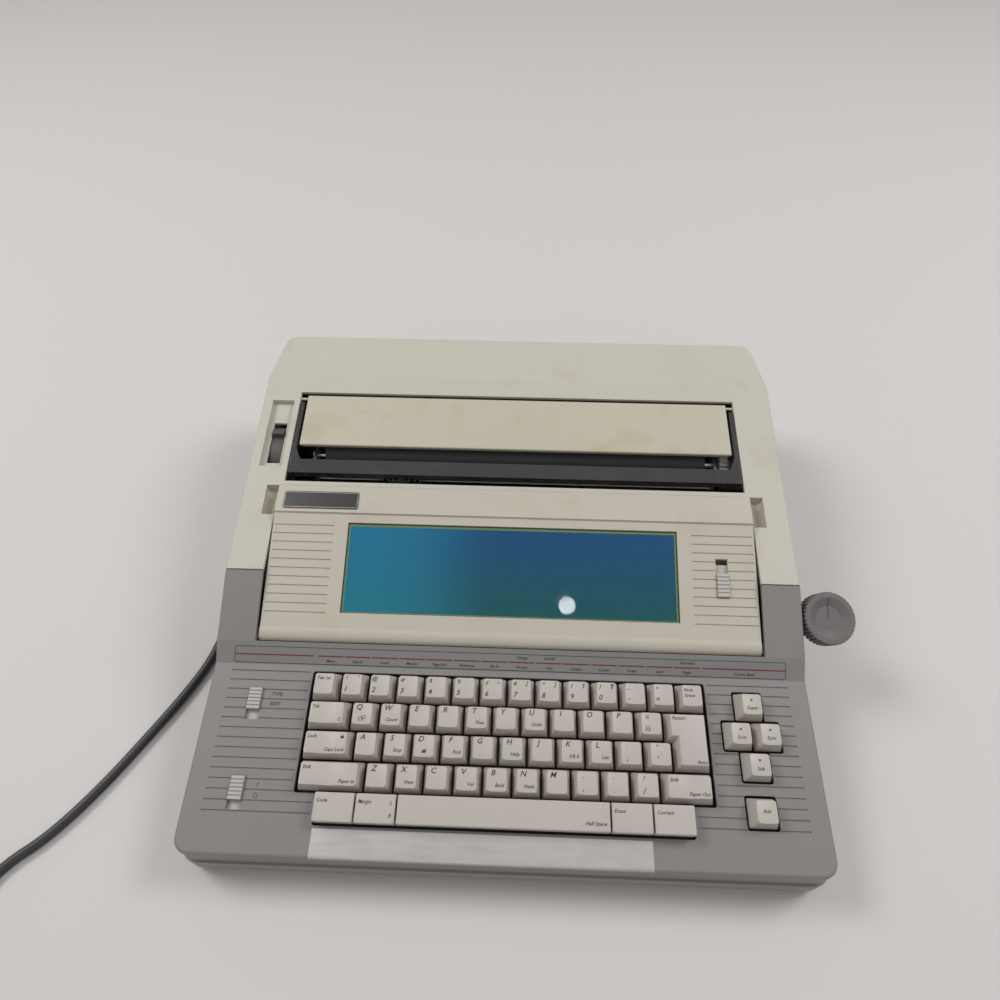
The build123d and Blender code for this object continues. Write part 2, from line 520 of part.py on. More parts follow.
# ---------------------------------------------------------------- keyboard
def cap(base_w, base_d, top_w, top_d, dished=True, stems=(0,)):
    """A key cap with sloping skirts, a dished top and its square stems."""
    low = Pos(0, 0, -KEY_SINK) * RectangleRounded(base_w, base_d, 1.0)
    high = Pos(0, 0, KEY_RISE) * RectangleRounded(top_w, top_d, 1.6)
    body = loft([low, high])
    if dished:
        dish = Pos(0, 0, KEY_RISE - DISH + DISH_R) * Rot(90, 0, 0) * Cylinder(DISH_R, 60)
        body -= dish
    for x in stems:
        body += box(x - STEM / 2, x + STEM / 2, -STEM / 2, STEM / 2, -STEM_LOW, 0)
    return body


def wide_cap(width, dished=True):
    """A cap that is some key widths wide, for the ends of the rows."""
    skirt = PITCH - KEY_TOP_W - KEY_GAP
    base = width * PITCH - KEY_GAP
    return cap(base, PITCH - KEY_GAP, base - skirt, KEY_TOP_D, dished)


def block_cap(width, stems=(0,)):
    """A straight-sided cap of the space bar's row."""
    w = width * PITCH - ROW_5_GAP
    body = box(-w / 2, w / 2, -SPACE_ROW_DEPTH / 2, SPACE_ROW_DEPTH / 2, -KEY_SINK, KEY_RISE)
    top = [e for e in body.edges() if abs(e.center().Z - KEY_RISE) < 0.01]
    body = fillet(top, 0.9)
    for x in stems:
        body += box(x - STEM / 2, x + STEM / 2, -STEM / 2, STEM / 2, -STEM_LOW, 0)
    return body


def at_key(u, s):
    """Place of a key whose centre is u key widths from the block's left end."""
    return Pos(-BLOCK_HALF + u * PITCH, s, 0)


def return_cap():
    """The tall return key: wide in its row, with a narrower foot in the row below."""
    low, high = Pos(0, 0, -KEY_SINK) * return_outline(0), Pos(0, 0, KEY_RISE) * return_outline(RETURN_TAPER)
    tall = loft([low, high])
    return tall + box(-STEM / 2, STEM / 2, -STEM / 2, STEM / 2, -STEM_LOW, 0)


def return_outline(inset):
    gap, half_d = KEY_GAP / 2 + inset, PITCH - KEY_GAP / 2 - inset
    right, left, inner_left = 0.75 * PITCH - gap, -0.75 * PITCH + gap, -0.5 * PITCH + gap
    step = -KEY_GAP / 2 + inset
    points = [(inner_left, -half_d), (right, -half_d), (right, half_d), (left, half_d), (left, step),
              (inner_left, step)]
    return make_face(Polyline(*points, close=True))


def stems_of(name):
    """Where a key of the space bar's row has its stems, from its middle."""
    return (-SPACE_STEM, 0, SPACE_STEM) if name == "space_bar" else (0,)


def make_keys():
    plain = cap(PITCH - KEY_GAP, PITCH - KEY_GAP, KEY_TOP_W, KEY_TOP_D)
    for name, (first, count, row) in ROWS.items():
        places = [first + i for i in range(count)]
        keep(name, *[on_deck(at_key(u, ROW_S[row]) * plain) for u in places])
    for name, (left, right, row) in SIDE_KEYS.items():
        width = right - left
        keep(name, on_deck(at_key((left + right) / 2, ROW_S[row]) * wide_cap(width)))
    middle = (ROW_S[1] + ROW_S[2]) / 2
    keep("key_return", on_deck(at_key(13.25, middle) * return_cap()))
    for name, left, right in zip(ROW_5_NAMES, ROW_5, ROW_5[1:]):
        keep(name, on_deck(at_key((left + right) / 2, SPACE_ROW) * block_cap(right - left, stems_of(name))))
    small = cap(CURSOR_BASE, CURSOR_BASE, CURSOR_TOP_W, CURSOR_TOP_D)
    for name, (x, s) in CURSOR_PLACES.items():
        keep(name, on_deck(Pos(x, s, 0) * small))


def stem_places():
    """Centre of every stem, in the deck's frame, for the holes of the key plate."""
    places = []
    for first, count, row in ROWS.values():
        places += [(-BLOCK_HALF + (first + i) * PITCH, ROW_S[row]) for i in range(count)]
    for left, right, row in SIDE_KEYS.values():
        places.append((-BLOCK_HALF + (left + right) / 2 * PITCH, ROW_S[row]))
    places.append((-BLOCK_HALF + 13.25 * PITCH, (ROW_S[1] + ROW_S[2]) / 2))
    for name, left, right in zip(ROW_5_NAMES, ROW_5, ROW_5[1:]):
        middle = -BLOCK_HALF + (left + right) / 2 * PITCH
        places += [(middle + x, SPACE_ROW) for x in stems_of(name)]
    return places + list(CURSOR_PLACES.values())


def make_key_plate():
    """Plate under the wells that guides the stems and hangs from the deck on short posts."""
    top = -PLATE_DEPTH
    edge = BLOCK_HALF + PLATE_SIDE
    plate = box(-edge, edge, PLATE_S0, PLATE_S1, top - PLATE_T, top)
    plate += box(edge - 1, CURSOR_X + PLATE_CURSOR_SIDE, PLATE_S0 + 7, PLATE_S1, top - PLATE_T, top)
    hole = STEM / 2 + STEM_CLEARANCE
    for x, s in stem_places():
        plate -= box(x - hole, x + hole, s - hole, s + hole, top - PLATE_T - 1, top + 1)
    for x in (-edge + 3, edge - 3.5):
        for s in (PLATE_S0 + 4, (PLATE_S0 + PLATE_S1) / 2, PLATE_S1 - 4):
            plate += Pos(x, s, top - 0.5) * extrude(Circle(PLATE_POST_R), PLATE_DEPTH - WALL + 0.5)
    keep("key_plate", on_deck(plate))


# ---------------------------------------------------------------- switches and sliders
def ridged_slider(s0, s1, x, width, surface, foot=2.5, wall=WALL):
    """A sliding thumb-piece with ridges across it, held by a flange under the wall."""
    pitch = (s1 - s0) / SLIDER_RIDGES
    points = [(s0, surface(s0) - wall - 1), (s0, surface(s0) + SLIDER_RISE)]
    for i in range(SLIDER_RIDGES):
        a, b = s0 + i * pitch, s0 + (i + 1) * pitch
        crest = surface(a) + SLIDER_RISE
        points += [(a + 0.15 * pitch, crest)] if i else []
        points += [(a + 0.7 * pitch, crest), (b - 0.01, surface(b) + SLIDER_RISE - RIDGE)]
    points.append((s1, surface(s1) - wall - 1))
    thumb = slab(points, x - width / 2, x + width / 2)
    top, low, high = wall + FLANGE_GAP, s0 - foot, s1 + foot
    outline = [(low, surface(low) - top - FLANGE_T), (high, surface(high) - top - FLANGE_T),
               (high, surface(high) - top), (low, surface(low) - top)]
    return thumb + slab(outline, x - width / 2 - 2, x + width / 2 + 2)


def make_switches():
    width = SLOT_W - 0.5
    for name, (s0, s1) in (("mode_switch", MODE_SLOT), ("power_switch", POWER_SLOT)):
        top = s1 - 0.3
        keep(name, on_deck(ridged_slider(top - THUMB_L, top, SLOT_X, width, lambda s: 0.0)))


# ---------------------------------------------------------------- display lid
def lid_outline(points_below):
    """Side view of the lid: rolled front edge, sloping face and raised strip."""
    front, (s0, h0), (s1, h1) = LID_FRONT, LID_FACE_0, LID_FACE_1
    roll = ThreePointArc((0, front, LID_FRONT_H), (0, front + 2.4, LID_FRONT_H + 2.6), (0, s0, h0))
    rest = [(s0, h0), (s1, h1), (LID_STEP, h1 + 0.1), (LID_STEP + 0.5, strip_h(LID_STEP + 0.5)),
            (LID_REAR - 1.5, strip_h(LID_REAR - 1.5)), (LID_REAR, strip_h(LID_REAR) - 1.5)]
    rest += points_below + [(front, LID_FRONT_H)]
    return make_face(roll + Polyline(*[(0, s, h) for s, h in rest]))


def lid_under():
    """The lid's underside from its rear edge to its front edge."""
    front, (s0, h0), (s1, h1) = LID_FRONT, LID_FACE_0, LID_FACE_1
    return [(LID_REAR, h1 - LID_THICK + 2), (s1, h1 - LID_THICK), (s0, h0 - LID_THICK + 2.5), (front, 0.5)]


def under_face(s0, s1, depth_0, depth_1, x0, x1):
    """A slab that follows the lid's face between two depths under it."""
    return slab([(s0, face_h(s0) - depth_1), (s1, face_h(s1) - depth_1),
                 (s1, face_h(s1) - depth_0), (s0, face_h(s0) - depth_0)], x0, x1)


def make_display():
    half, wall = LID_WIDTH / 2, LID_WALL
    outline = lid_outline(lid_under())
    outer = Pos(-half, 0, 0) * extrude(outline, LID_WIDTH, dir=(1, 0, 0))
    (s0, h0), (s1, h1) = LID_FACE_0, LID_FACE_1
    front, rear = LID_FRONT + wall, LID_REAR - wall
    cavity = slab([(front, -20), (front, LID_FRONT_H), (s0, h0 - wall), (s1, h1 - wall),
                   (LID_STEP + wall, strip_h(LID_STEP) - wall), (rear, strip_h(rear) - wall), (rear, -20)],
                  -half + wall, half - wall)
    housing = outer - cavity
    housing -= under_face(WINDOW_S0, WINDOW_S1, -5, 6, -WINDOW_W / 2, WINDOW_W / 2)
    lines_x = WINDOW_W / 2 + LID_LINES_GAP
    for i in range(LID_LINES):
        s = LID_LINES_S0 + i * LID_LINES_STEP
        for x0, x1 in ((-half + 1.5, -lines_x), (lines_x, half - 1.5)):
            housing -= under_face(s - LINE_W / 2, s + LINE_W / 2, -1, LINE_DEEP, x0, x1)
    x = half - CONTRAST_IN
    housing -= under_face(*CONTRAST_SLOT, -5, 6, x - CONTRAST_W / 2, x + CONTRAST_W / 2)
    s, h = LID_PIVOT
    for side in SIDES:
        housing += rod((side * (half - wall), s, h), (side * (half + LID_GAP + 2.8), s, h), PIN_R)
    keep("display_housing", on_deck(housing))

    clear = wall + 0.2
    below = lid_under()
    back = [(below[0][0] - clear, below[0][1]), below[1], below[2], (LID_FRONT + clear, 0.2)]
    back += [(a, b + BACK_T) for a, b in reversed(back)]
    plate = slab(back, -half + clear, half - clear)
    for x in (-WINDOW_W / 2, WINDOW_W / 2):
        for s in (WINDOW_S0, WINDOW_S1):
            under = wall + LCD_T
            plate += slab([(s - 2, face_h(s) - LID_THICK + 1), (s + 2, face_h(s + 2) - LID_THICK + 1),
                           (s + 2, face_h(s + 2) - under), (s - 2, face_h(s - 2) - under)], x - 2, x + 2)
    keep("display_back", on_deck(plate))
    margin = LCD_MARGIN
    keep("lcd_module", on_deck(under_face(WINDOW_S0 - margin, WINDOW_S1 + margin - 1.5, wall, wall + LCD_T,
                                          -WINDOW_W / 2 - margin, WINDOW_W / 2 + margin)))
    keep("lcd_window", on_deck(under_face(WINDOW_S0 + 0.1, WINDOW_S1 - 0.1, wall - LENS_T, wall,
                                          -WINDOW_W / 2 + 0.1, WINDOW_W / 2 - 0.1)))
    low = CONTRAST_SLOT[0] + 0.3
    high = low + CONTRAST_THUMB
    thumb = ridged_slider(low, high, half - CONTRAST_IN, CONTRAST_W - 0.5, face_h, 1.5, LID_WALL + 0.15)
    keep("contrast_slider", on_deck(thumb))
    badge_s0, badge_s1 = BADGE_S
    low, high = strip_h(badge_s0), strip_h(badge_s1)
    badge = slab([(badge_s0, low), (badge_s1, high), (badge_s1, high + BADGE_T), (badge_s0, low + BADGE_T)],
                 BADGE_IN - half, BADGE_IN - half + BADGE_L)
    badge = fillet([e for e in badge.edges() if abs(e.tangent_at(0.5).Z) > 0.9], 1.5)
    keep("badge_plate", on_deck(badge))


# ---------------------------------------------------------------- paper opening
def make_shield_and_flap():
    half = SHIELD_W / 2
    s0, s1 = SHIELD_BAR_S0, SHIELD_BAR_S1
    drop = SHIELD_DROP
    shield = below_cover(s0, s1, drop, drop + SHIELD_T, -half, half)
    shield += below_cover(s0, s0 + SHIELD_T, drop, drop + SHIELD_SKIRT, -half, half)
    (ps, ph), (ahead, behind, under) = SHIELD_PIVOT, ARM_LUG
    arm_end = ps + ARM_BACK
    for side in SIDES:
        outer = side * half
        wide, slim = outer - side * ARM_FRONT_W, outer - side * ARM_REAR_W
        plan = make_face(Polyline((outer, s0), (wide, s0), (wide, s1), (slim, FLAP_S0 - 3), (slim, arm_end),
                                  (outer, arm_end), close=True))
        shield += extrude(plan, 60) & below_cover(s0, arm_end, drop, drop + SHIELD_T, -400, 400)
        rim = sorted((outer, slim))
        shield += below_cover(s0, arm_end, drop, drop + SHIELD_SKIRT, *rim)
        top = cover_h(ps) - drop - 1
        shield += slab([(ps - ahead, ph - under), (ps + behind, ph - under), (ps + behind, top),
                        (ps - ahead, top)], *rim)
        shield += rod((outer - side, ps, ph), (side * (OPENING_W / 2 + PIN_IN_EAR), ps, ph), PIN_R)
    keep("sound_shield", on_deck(shield))

    flap = below_cover(FLAP_S0, FLAP_S1, drop, drop + FLAP_T, -FLAP_W / 2, FLAP_W / 2)
    along_front = [e for e in flap.edges() if abs(e.tangent_at(0.5).X) > 0.9]
    flap = fillet([e for e in along_front if abs(e.center().Y - FLAP_S0) < 0.1], FLAP_EDGE_R)
    inner, lip = FLAP_W / 2 - 1, FLAP_S0 + FLAP_LIP_IN
    flap += below_cover(lip, lip + FLAP_LIP_T, drop + 1, drop + FLAP_LIP, -inner, inner)
    tip = OPENING_W / 2 + PIN_IN_EAR
    for side in SIDES:
        flap += rod((side * inner, *flap_pivot()), (side * tip, *flap_pivot()), FLAP_PIN_R)
    keep("paper_support", on_deck(flap))


def lever_sector(r0, r1, a0, a1):
    """Part of a ring about the lever's pin, between two angles from upright, as wide as the lever."""
    ring = Plane.YZ * (Circle(r1) - Circle(r0))
    rays = [(0, 99 * sin(radians(a)), 99 * cos(radians(a))) for a in (a0, (a0 + a1) / 2, a1)]
    wedge = make_face(Polyline((0, 0, 0), *rays, close=True))
    return Pos(LEVER_X - LEVER_W / 2, *LEVER_PIVOT) * extrude(ring & wedge, LEVER_W, dir=(1, 0, 0))


def make_lever():
    """Rocking lever: a curved apron that closes the slot, a finger ridge, a web and a pin."""
    lever = lever_sector(APRON_R - APRON_T, APRON_R, -APRON_HALF, APRON_HALF)
    lever += lever_sector(APRON_R - 1, APRON_R + RIDGE_UP, *LEVER_RIDGE)
    lever += lever_sector(0.5, APRON_R - 1, -WEB_HALF, WEB_HALF)
    pin = LEVER_SLOT_W / 2 + LEVER_EAR_GAP + LEVER_EAR_T - 0.2
    for half, r in ((LEVER_W / 2, HUB_R), (pin, LEVER_PIN_R)):
        lever += rod((LEVER_X - half, *LEVER_PIVOT), (LEVER_X + half, *LEVER_PIVOT), r)
    keep("release_lever", on_deck(lever))


# ---------------------------------------------------------------- printer
def gear_outline(teeth):
    """Straight-flanked teeth, thinned by the backlash, in the XY plane."""
    pitch_r = teeth * GEAR_MODULE / 2
    tip, root = pitch_r + 0.95 * GEAR_MODULE, pitch_r - 1.2 * GEAR_MODULE
    step = 2 * pi / teeth
    half = (pi * GEAR_MODULE / 2 - BACKLASH) / 2 / pitch_r
    points = []
    foot, head = 1.75 * half, 0.42 * half
    for i in range(teeth):
        for angle, r in ((-foot, root), (-head, tip), (head, tip), (foot, root)):
            points.append((r * cos(i * step + angle), r * sin(i * step + angle)))
    return make_face(Polyline(*points, close=True))


def along_x(sketch, x0, x1, y, z, turn=0.0):
    """Carry a flat sketch to the YZ plane at (y, z) and extrude it from x0 to x1."""
    plane = Plane(origin=(x0, y, z), x_dir=(0, 1, 0), z_dir=(1, 0, 0))
    return extrude(plane * Rot(0, 0, turn) * sketch, x1 - x0)


def make_feed():
    y, z = up(*PLATEN)
    roller = along_x(Circle(PLATEN_R) - Circle(SHAFT_R), -PLATEN_L / 2, PLATEN_L / 2, y, z)
    keep("platen_roller", roller)
    shaft_end = FRAME_X + FRAME_T + GEAR_GAP + GEAR_FACE
    keep("platen_shaft", along_x(Circle(SHAFT_R), -FRAME_X - FRAME_T - 3, shaft_end, y, z))
    g0 = FRAME_X + FRAME_T + GEAR_GAP
    gear = gear_outline(GEAR_TEETH) - Circle(SHAFT_R)
    keep("platen_gear", along_x(gear, g0, g0 + GEAR_FACE, y, z, MESH_ANGLE))
    motor_y, motor_z = feed_motor_place()
    turn = MESH_ANGLE + 180 + 180 / PINION_TEETH
    pinion = along_x(gear_outline(PINION_TEETH), g0, g0 + GEAR_FACE, motor_y, motor_z, turn)
    m0 = g0 + GEAR_FACE + MOTOR_STANDS
    pinion += along_x(Circle(MOTOR_SHAFT_R), g0 - 0.5, m0 + SHAFT_IN_MOTOR, motor_y, motor_z)
    keep("feed_pinion", pinion)
    motor = along_x(Circle(MOTOR_R), m0, m0 + MOTOR_L, motor_y, motor_z)
    for dy, dz in MOTOR_POSTS:
        motor += along_x(Circle(MOTOR_LUG_R), m0, m0 + 2, motor_y + dy, motor_z + dz)
        motor += along_x(Circle(MOTOR_POST_R), FRAME_X + FRAME_T, m0 + 1, motor_y + dy, motor_z + dz)
    bore = Circle(MOTOR_SHAFT_R + RUN_CLEARANCE)
    motor -= along_x(bore, m0 - 1, m0 + SHAFT_IN_MOTOR + 1, motor_y, motor_z)
    keep("feed_motor", motor)


def feed_motor_place():
    y, z = up(*PLATEN)
    centres = (GEAR_TEETH + PINION_TEETH) * GEAR_MODULE / 2
    return y + centres * cos(radians(MESH_ANGLE)), z + centres * sin(radians(MESH_ANGLE))


def make_frames():
    """Two steel side plates that stand on the floor and carry the platen and the rails."""
    y, z = up(*PLATEN)
    floor = FOOT_HEIGHT + WALL
    notch_y, notch_z = DRIVE_Y - 1.5, DRIVE_Z + DRIVE_H + 2
    (front, step), (dy, dz) = FRAME_Y, FRAME_HEAD
    outline = [(front, floor), (notch_y, floor), (notch_y, notch_z), (FRAME_REAR_Y, notch_z),
               (FRAME_REAR_Y, FRAME_STEP_Y + 15), (y + dy, z + dz), (y - dy, z + dz), (step, FRAME_STEP_Y),
               (front, FRAME_STEP_Y)]
    plate = make_face(Polyline(*outline, close=True))
    plate -= Pos(y, z) * Circle(SHAFT_R + RUN_CLEARANCE)
    for ry, rz in (FRONT_RAIL, REAR_RAIL):
        plate -= Pos(ry, rz) * Circle(RAIL_R)
    keep("side_frames", *[along_x(plate, x, x + FRAME_T, 0, 0) for x in (FRAME_X, -FRAME_X - FRAME_T)])
    reach = FRAME_X + FRAME_T
    rails = [along_x(Circle(RAIL_R), -reach, reach, *rail) for rail in (FRONT_RAIL, REAR_RAIL)]
    keep("carriage_rails", *rails)
    inner = PLATEN_R + PAN_GAP
    ring = Circle(inner + PAN_T) - Circle(inner)
    arc = [(60 * cos(radians(a)), 60 * sin(radians(a))) for a in range(*PAN_ARC, 31)]
    curve = ring & make_face(Polyline((0, 0), *arc, close=True))
    keep("paper_pan", along_x(curve, -FRAME_X, FRAME_X, y, z))


def make_carriage():
    """Sliding carriage with its hammer, the wheel motor, the daisy wheel and the ribbon cassette."""
    x = CARRIAGE_X
    y, z = up(*PLATEN)
    axis_z = z - WHEEL_R
    rear = y - PLATEN_R - WHEEL_FRONT
    front = rear - BACK_PLATE_T
    base = box(x - CARRIAGE_HALF, x + CARRIAGE_HALF, FRONT_RAIL[0] - BED_AHEAD, rear,
               REAR_RAIL[1] - BED_DOWN, FRONT_RAIL[1] + BED_UP)
    base += box(x - BACK_HALF, x + BACK_HALF, front, rear, REAR_RAIL[1], CASSETTE_Z)
    base += box(x - HAMMER_HALF - 2, x + HAMMER_HALF + 2, front, rear, CASSETTE_Z - 1, z + HAMMER_UP)
    base += box(x - HAMMER_HALF, x + HAMMER_HALF, rear - HAMMER_L, rear, z - HAMMER_DOWN, z + HAMMER_UP)
    wheel_y = rear + WHEEL_FRONT - WHEEL_BACK
    base += rod((x, rear - 1, z - 0.5), (x, wheel_y - 0.5, z - 0.5), HAMMER_R)
    for side in SIDES:
        cheek = sorted((x + side * (CARRIAGE_HALF - CHEEK_T), x + side * CARRIAGE_HALF))
        base += box(*cheek, FRONT_RAIL[0] - BED_AHEAD + 2, front, FRONT_RAIL[1] + 1, CASSETTE_Z)
    base -= rod((x, rear - 5, axis_z), (x, rear + 5, axis_z), WHEEL_BORE_R)
    reach = CARRIAGE_HALF + 1
    for rail in (FRONT_RAIL, REAR_RAIL):
        base -= rod((x - reach, *rail), (x + reach, *rail), RAIL_R + RUN_CLEARANCE)
    keep("print_carriage", base)
    motor = rod((x, front - WHEEL_MOTOR_L, axis_z), (x, front, axis_z), WHEEL_MOTOR_R)
    motor -= rod((x, rear - 20, axis_z), (x, rear + 5, axis_z), WHEEL_SHAFT_R + RUN_CLEARANCE)
    keep("wheel_motor", motor)
    petals = []
    foot, tip = (PETAL_FOOT, WHEEL_ROOT_R), (PETAL_TIP, WHEEL_R)
    for i in range(PETALS):
        for sign, (share, r) in ((-1, foot), (-1, tip), (1, tip), (1, foot)):
            a = 2 * pi * (i + sign * share) / PETALS
            petals.append((x + r * cos(a), wheel_y, axis_z + r * sin(a)))
    wheel = extrude(make_face(Polyline(*petals, close=True)), WHEEL_T, dir=(0, 1, 0))
    wheel += rod((x, wheel_y - 2.5, axis_z), (x, wheel_y + WHEEL_T + 0.4, axis_z), WHEEL_HUB_R)
    wheel += rod((x, rear - 18, axis_z), (x, wheel_y, axis_z), WHEEL_SHAFT_R)
    keep("daisy_wheel", wheel)
    cassette = box(x - CASSETTE_HALF, x + CASSETTE_HALF, FRONT_RAIL[0] - CASSETTE_AHEAD, front - 0.5,
                   CASSETTE_Z, CASSETTE_Z + CASSETTE_H)
    cassette = fillet([e for e in cassette.edges() if abs(e.tangent_at(0.5).Z) > 0.9], CASSETTE_R)
    for side in SIDES:
        arm = sorted(x + side * reach for reach in CASSETTE_ARM)
        cassette += box(*arm, front - 5.5, rear + 3.5, CASSETTE_Z + 2, CASSETTE_Z + CASSETTE_H - 2)
    keep("ribbon_cassette", cassette)


# ---------------------------------------------------------------- electronics
def board(width, depth):
    """A circuit board on four standoffs, with one corner at the origin."""
    shape = box(0, width, 0, depth, STANDOFF, STANDOFF + BOARD_T)
    for x in (STANDOFF_IN, width - STANDOFF_IN):
        for y in (STANDOFF_IN, depth - STANDOFF_IN):
            shape += Pos(x, y, 0) * extrude(Circle(STANDOFF_R), STANDOFF + BOARD_T / 4)
    return shape


def make_boards():
    """Main board, and the power supply with its transformer, capacitors and heat sink."""
    floor, top = FOOT_HEIGHT + WALL, STANDOFF + BOARD_T
    width, depth, left, rear = MAIN_BOARD
    main = board(width, depth)
    for x, y, w, d in CHIPS:
        main += box(x - w / 2, x + w / 2, y - d / 2, y + d / 2, top, top + CHIP_H)
    keep("main_board", Pos(left, REAR_Y - rear - depth, floor) * main)
    supply = board(SUPPLY_W, SUPPLY_D)
    for x0, x1, y0, y1, z0, z1 in (COIL_BLOCK, CORE_BLOCK, HEAT_SINK):
        supply += box(x0, x1, y0, y1, top + z0, top + z1)
    for x, y in CAPACITORS:
        supply += Pos(x, y, top) * extrude(Circle(CAPACITOR_R), CAPACITOR_H)
    keep("power_supply", Pos(SUPPLY_SIDE - HALF, REAR_Y - SUPPLY_REAR - SUPPLY_D, floor) * supply)


def make_drive():
    """Disk drive behind the right wall: its slot with a finger notch, and its eject button."""
    drive = box(HALF - DRIVE_L, HALF, DRIVE_Y, DRIVE_Y + DRIVE_W, DRIVE_Z, DRIVE_Z + DRIVE_H)
    y_mid = DRIVE_Y + DRIVE_W / 2
    slot_z = DRIVE_Z + DRIVE_H - DISK_SLOT_DOWN
    slot_top = slot_z + DISK_H
    deep, wide, high = FINGER_NOTCH
    drive -= box(HALF - DISK_DEPTH, HALF + 1, y_mid - DISK_W / 2, y_mid + DISK_W / 2, slot_z, slot_top)
    drive -= box(HALF - deep, HALF + 1, y_mid - wide / 2, y_mid + wide / 2, slot_z - high, slot_top + high)
    y, z = DRIVE_Y + DRIVE_W - BUTTON_IN, DRIVE_Z + BUTTON_UP
    w, h = BUTTON_W / 2, BUTTON_H / 2
    drive -= box(HALF - BUTTON_HOLE, HALF + 1, y - w, y + w, z - h, z + h)
    keep("disk_drive", drive)
    gap = BUTTON_GAP
    inner = HALF - BUTTON_HOLE + BUTTON_TRAVEL + gap
    w, h = w - gap, h - gap
    keep("eject_button", box(inner, HALF + BUTTON_PROUD, y - w, y + w, z - h, z + h))


# ---------------------------------------------------------------- knob
def knob_plane(below):
    """Plane across the knob's axis, a distance below its face."""
    lx, ly = radians(KNOB_LEAN_X), radians(KNOB_LEAN_Y)
    n = Vector(sin(lx), -sin(ly) * cos(lx), cos(ly) * cos(lx))
    return Plane(origin=Vector(*KNOB_CENTRE) - n * below, x_dir=(cos(lx), 0, -sin(lx) / cos(ly)), z_dir=n)


def make_knob():
    back = knob_plane(KNOB_T)
    knob = extrude(back * Circle(KNOB_R), KNOB_T)
    knob = chamfer(knob.edges().group_by(SortBy.LENGTH)[-1].sort_by(Axis.Z)[-1], 0.8)
    cuts = []
    for i in range(KNOB_TEETH):
        a = 2 * pi * i / KNOB_TEETH
        cuts.append(extrude(back * Pos(KNOB_R * cos(a), KNOB_R * sin(a)) * Circle(KNOB_GROOVE), KNOB_T + 1))
    knob -= cuts
    dish = extrude(Circle(KNOB_DISH_R0), KNOB_DISH + 1, taper=-KNOB_DISH_TAPER)
    knob -= knob_plane(0) * Pos(0, 0, -KNOB_DISH) * dish
    knob += extrude(back * Circle(SPINDLE_R), -SPINDLE_L)
    keep("feed_knob", knob)

    lug = extrude(knob_plane(KNOB_T + 0.4) * Circle(LUG_R), -LUG_L)
    c = knob_plane(KNOB_T + 0.4 + LUG_L / 2).origin
    web = box(HALF, c.X, c.Y - LUG_R * 0.85, c.Y + LUG_R * 0.85, c.Z - LUG_L / 2 + 1, c.Z + 1.5)
    lug = lug + web
    lug -= box(-400, HALF, -400, 600, 0, 200)
    lug -= extrude(knob_plane(KNOB_T) * Circle(SPINDLE_R + RUN_CLEARANCE), -SPINDLE_L - 0.5)
    keep("knob_bracket", lug)


# ---------------------------------------------------------------- mains cord
def free_cord():
    """Tube of the cord that lies free: from the strain relief to the first turn of the coil."""
    points = [Vector(*p) for p in CORD_ROUTE]
    radii = []
    for a, b, c in zip(points, points[1:], points[2:]):
        turn = radians((b - a).get_angle(c - b))
        radii.append(0.45 * min((b - a).length, (c - b).length) / tan(turn / 2))
    path = FilletPolyline(*points, radius=radii)
    print("cord radii", [round(r) for r in radii], "length", round(path.length))
    tube = sweep(Plane(origin=path @ 0, z_dir=path % 0) * Circle(CORD_R), path)
    print("cord volume share", round(tube.volume / (pi * CORD_R ** 2 * path.length), 3))
    return tube, path.length


def spiral_point(i):
    """Point and heading after i quarter turns: in along the lower layer, out along the upper one."""
    last = COIL_QUARTERS
    layer = min(max(i - last, 0), 2) / 2
    inward = i if i <= last else max(2 * last + 2 - i, 0)
    inward = min(inward, last)
    r = COIL_R - COIL_PITCH / 4 * inward
    a = -pi / 2 * i
    point = Vector(COIL_CENTRE[0] + r * cos(a), COIL_CENTRE[1] + r * sin(a), CORD_LIE + COIL_PITCH * layer)
    return point, Vector(sin(a), -cos(a), 0)


def biarc(p, t, q, u):
    """Two tangent arcs from p with heading t to q with heading u."""
    v, w = q - p, t + u
    k = 2 * (1 - t.dot(u))
    along = v.dot(w)
    d = v.dot(v) / (2 * along) if k < 1e-9 else (sqrt(along ** 2 + k * v.dot(v)) - along) / k
    joint = (p + q + (t - u) * d) * 0.5
    first = TangentArc(p, joint, tangent=t)
    return [first, TangentArc(joint, q, tangent=first % 1)]


def coil():
    count = 2 * COIL_QUARTERS + 3
    arcs = []
    for i in range(count - 1):
        (p, t), (q, u) = spiral_point(i), spiral_point(i + 1)
        arcs += biarc(p, t, q, u)
    drop = q.Z - PLUG_H / 2 - PLUG_LIE
    arcs += biarc(q, u, q + u * TAIL_L - Vector(0, 0, drop), u)
    path = Wire(arcs)
    tube = sweep(Plane(origin=path @ 0, z_dir=path % 0) * Circle(CORD_R), path)
    count = 600
    steps = [path @ (k / count) for k in range(count + 1)]
    apart = path.length / count
    near = [(b - a).length for i, a in enumerate(steps) for b in steps[i + round(40 / apart):]]
    print("coil length", round(path.length), "least gap", round(min(near) - 2 * CORD_R, 2))
    return tube, path.length, path @ 1, path % 1


def make_cord():
    tube, free = free_cord()
    keep("power_cord", tube)
    turns, wound, end, heading = coil()
    keep("cord_coil", turns)
    print("cord in all", round(free + wound))
    make_strain_relief()
    make_plug(end, heading)


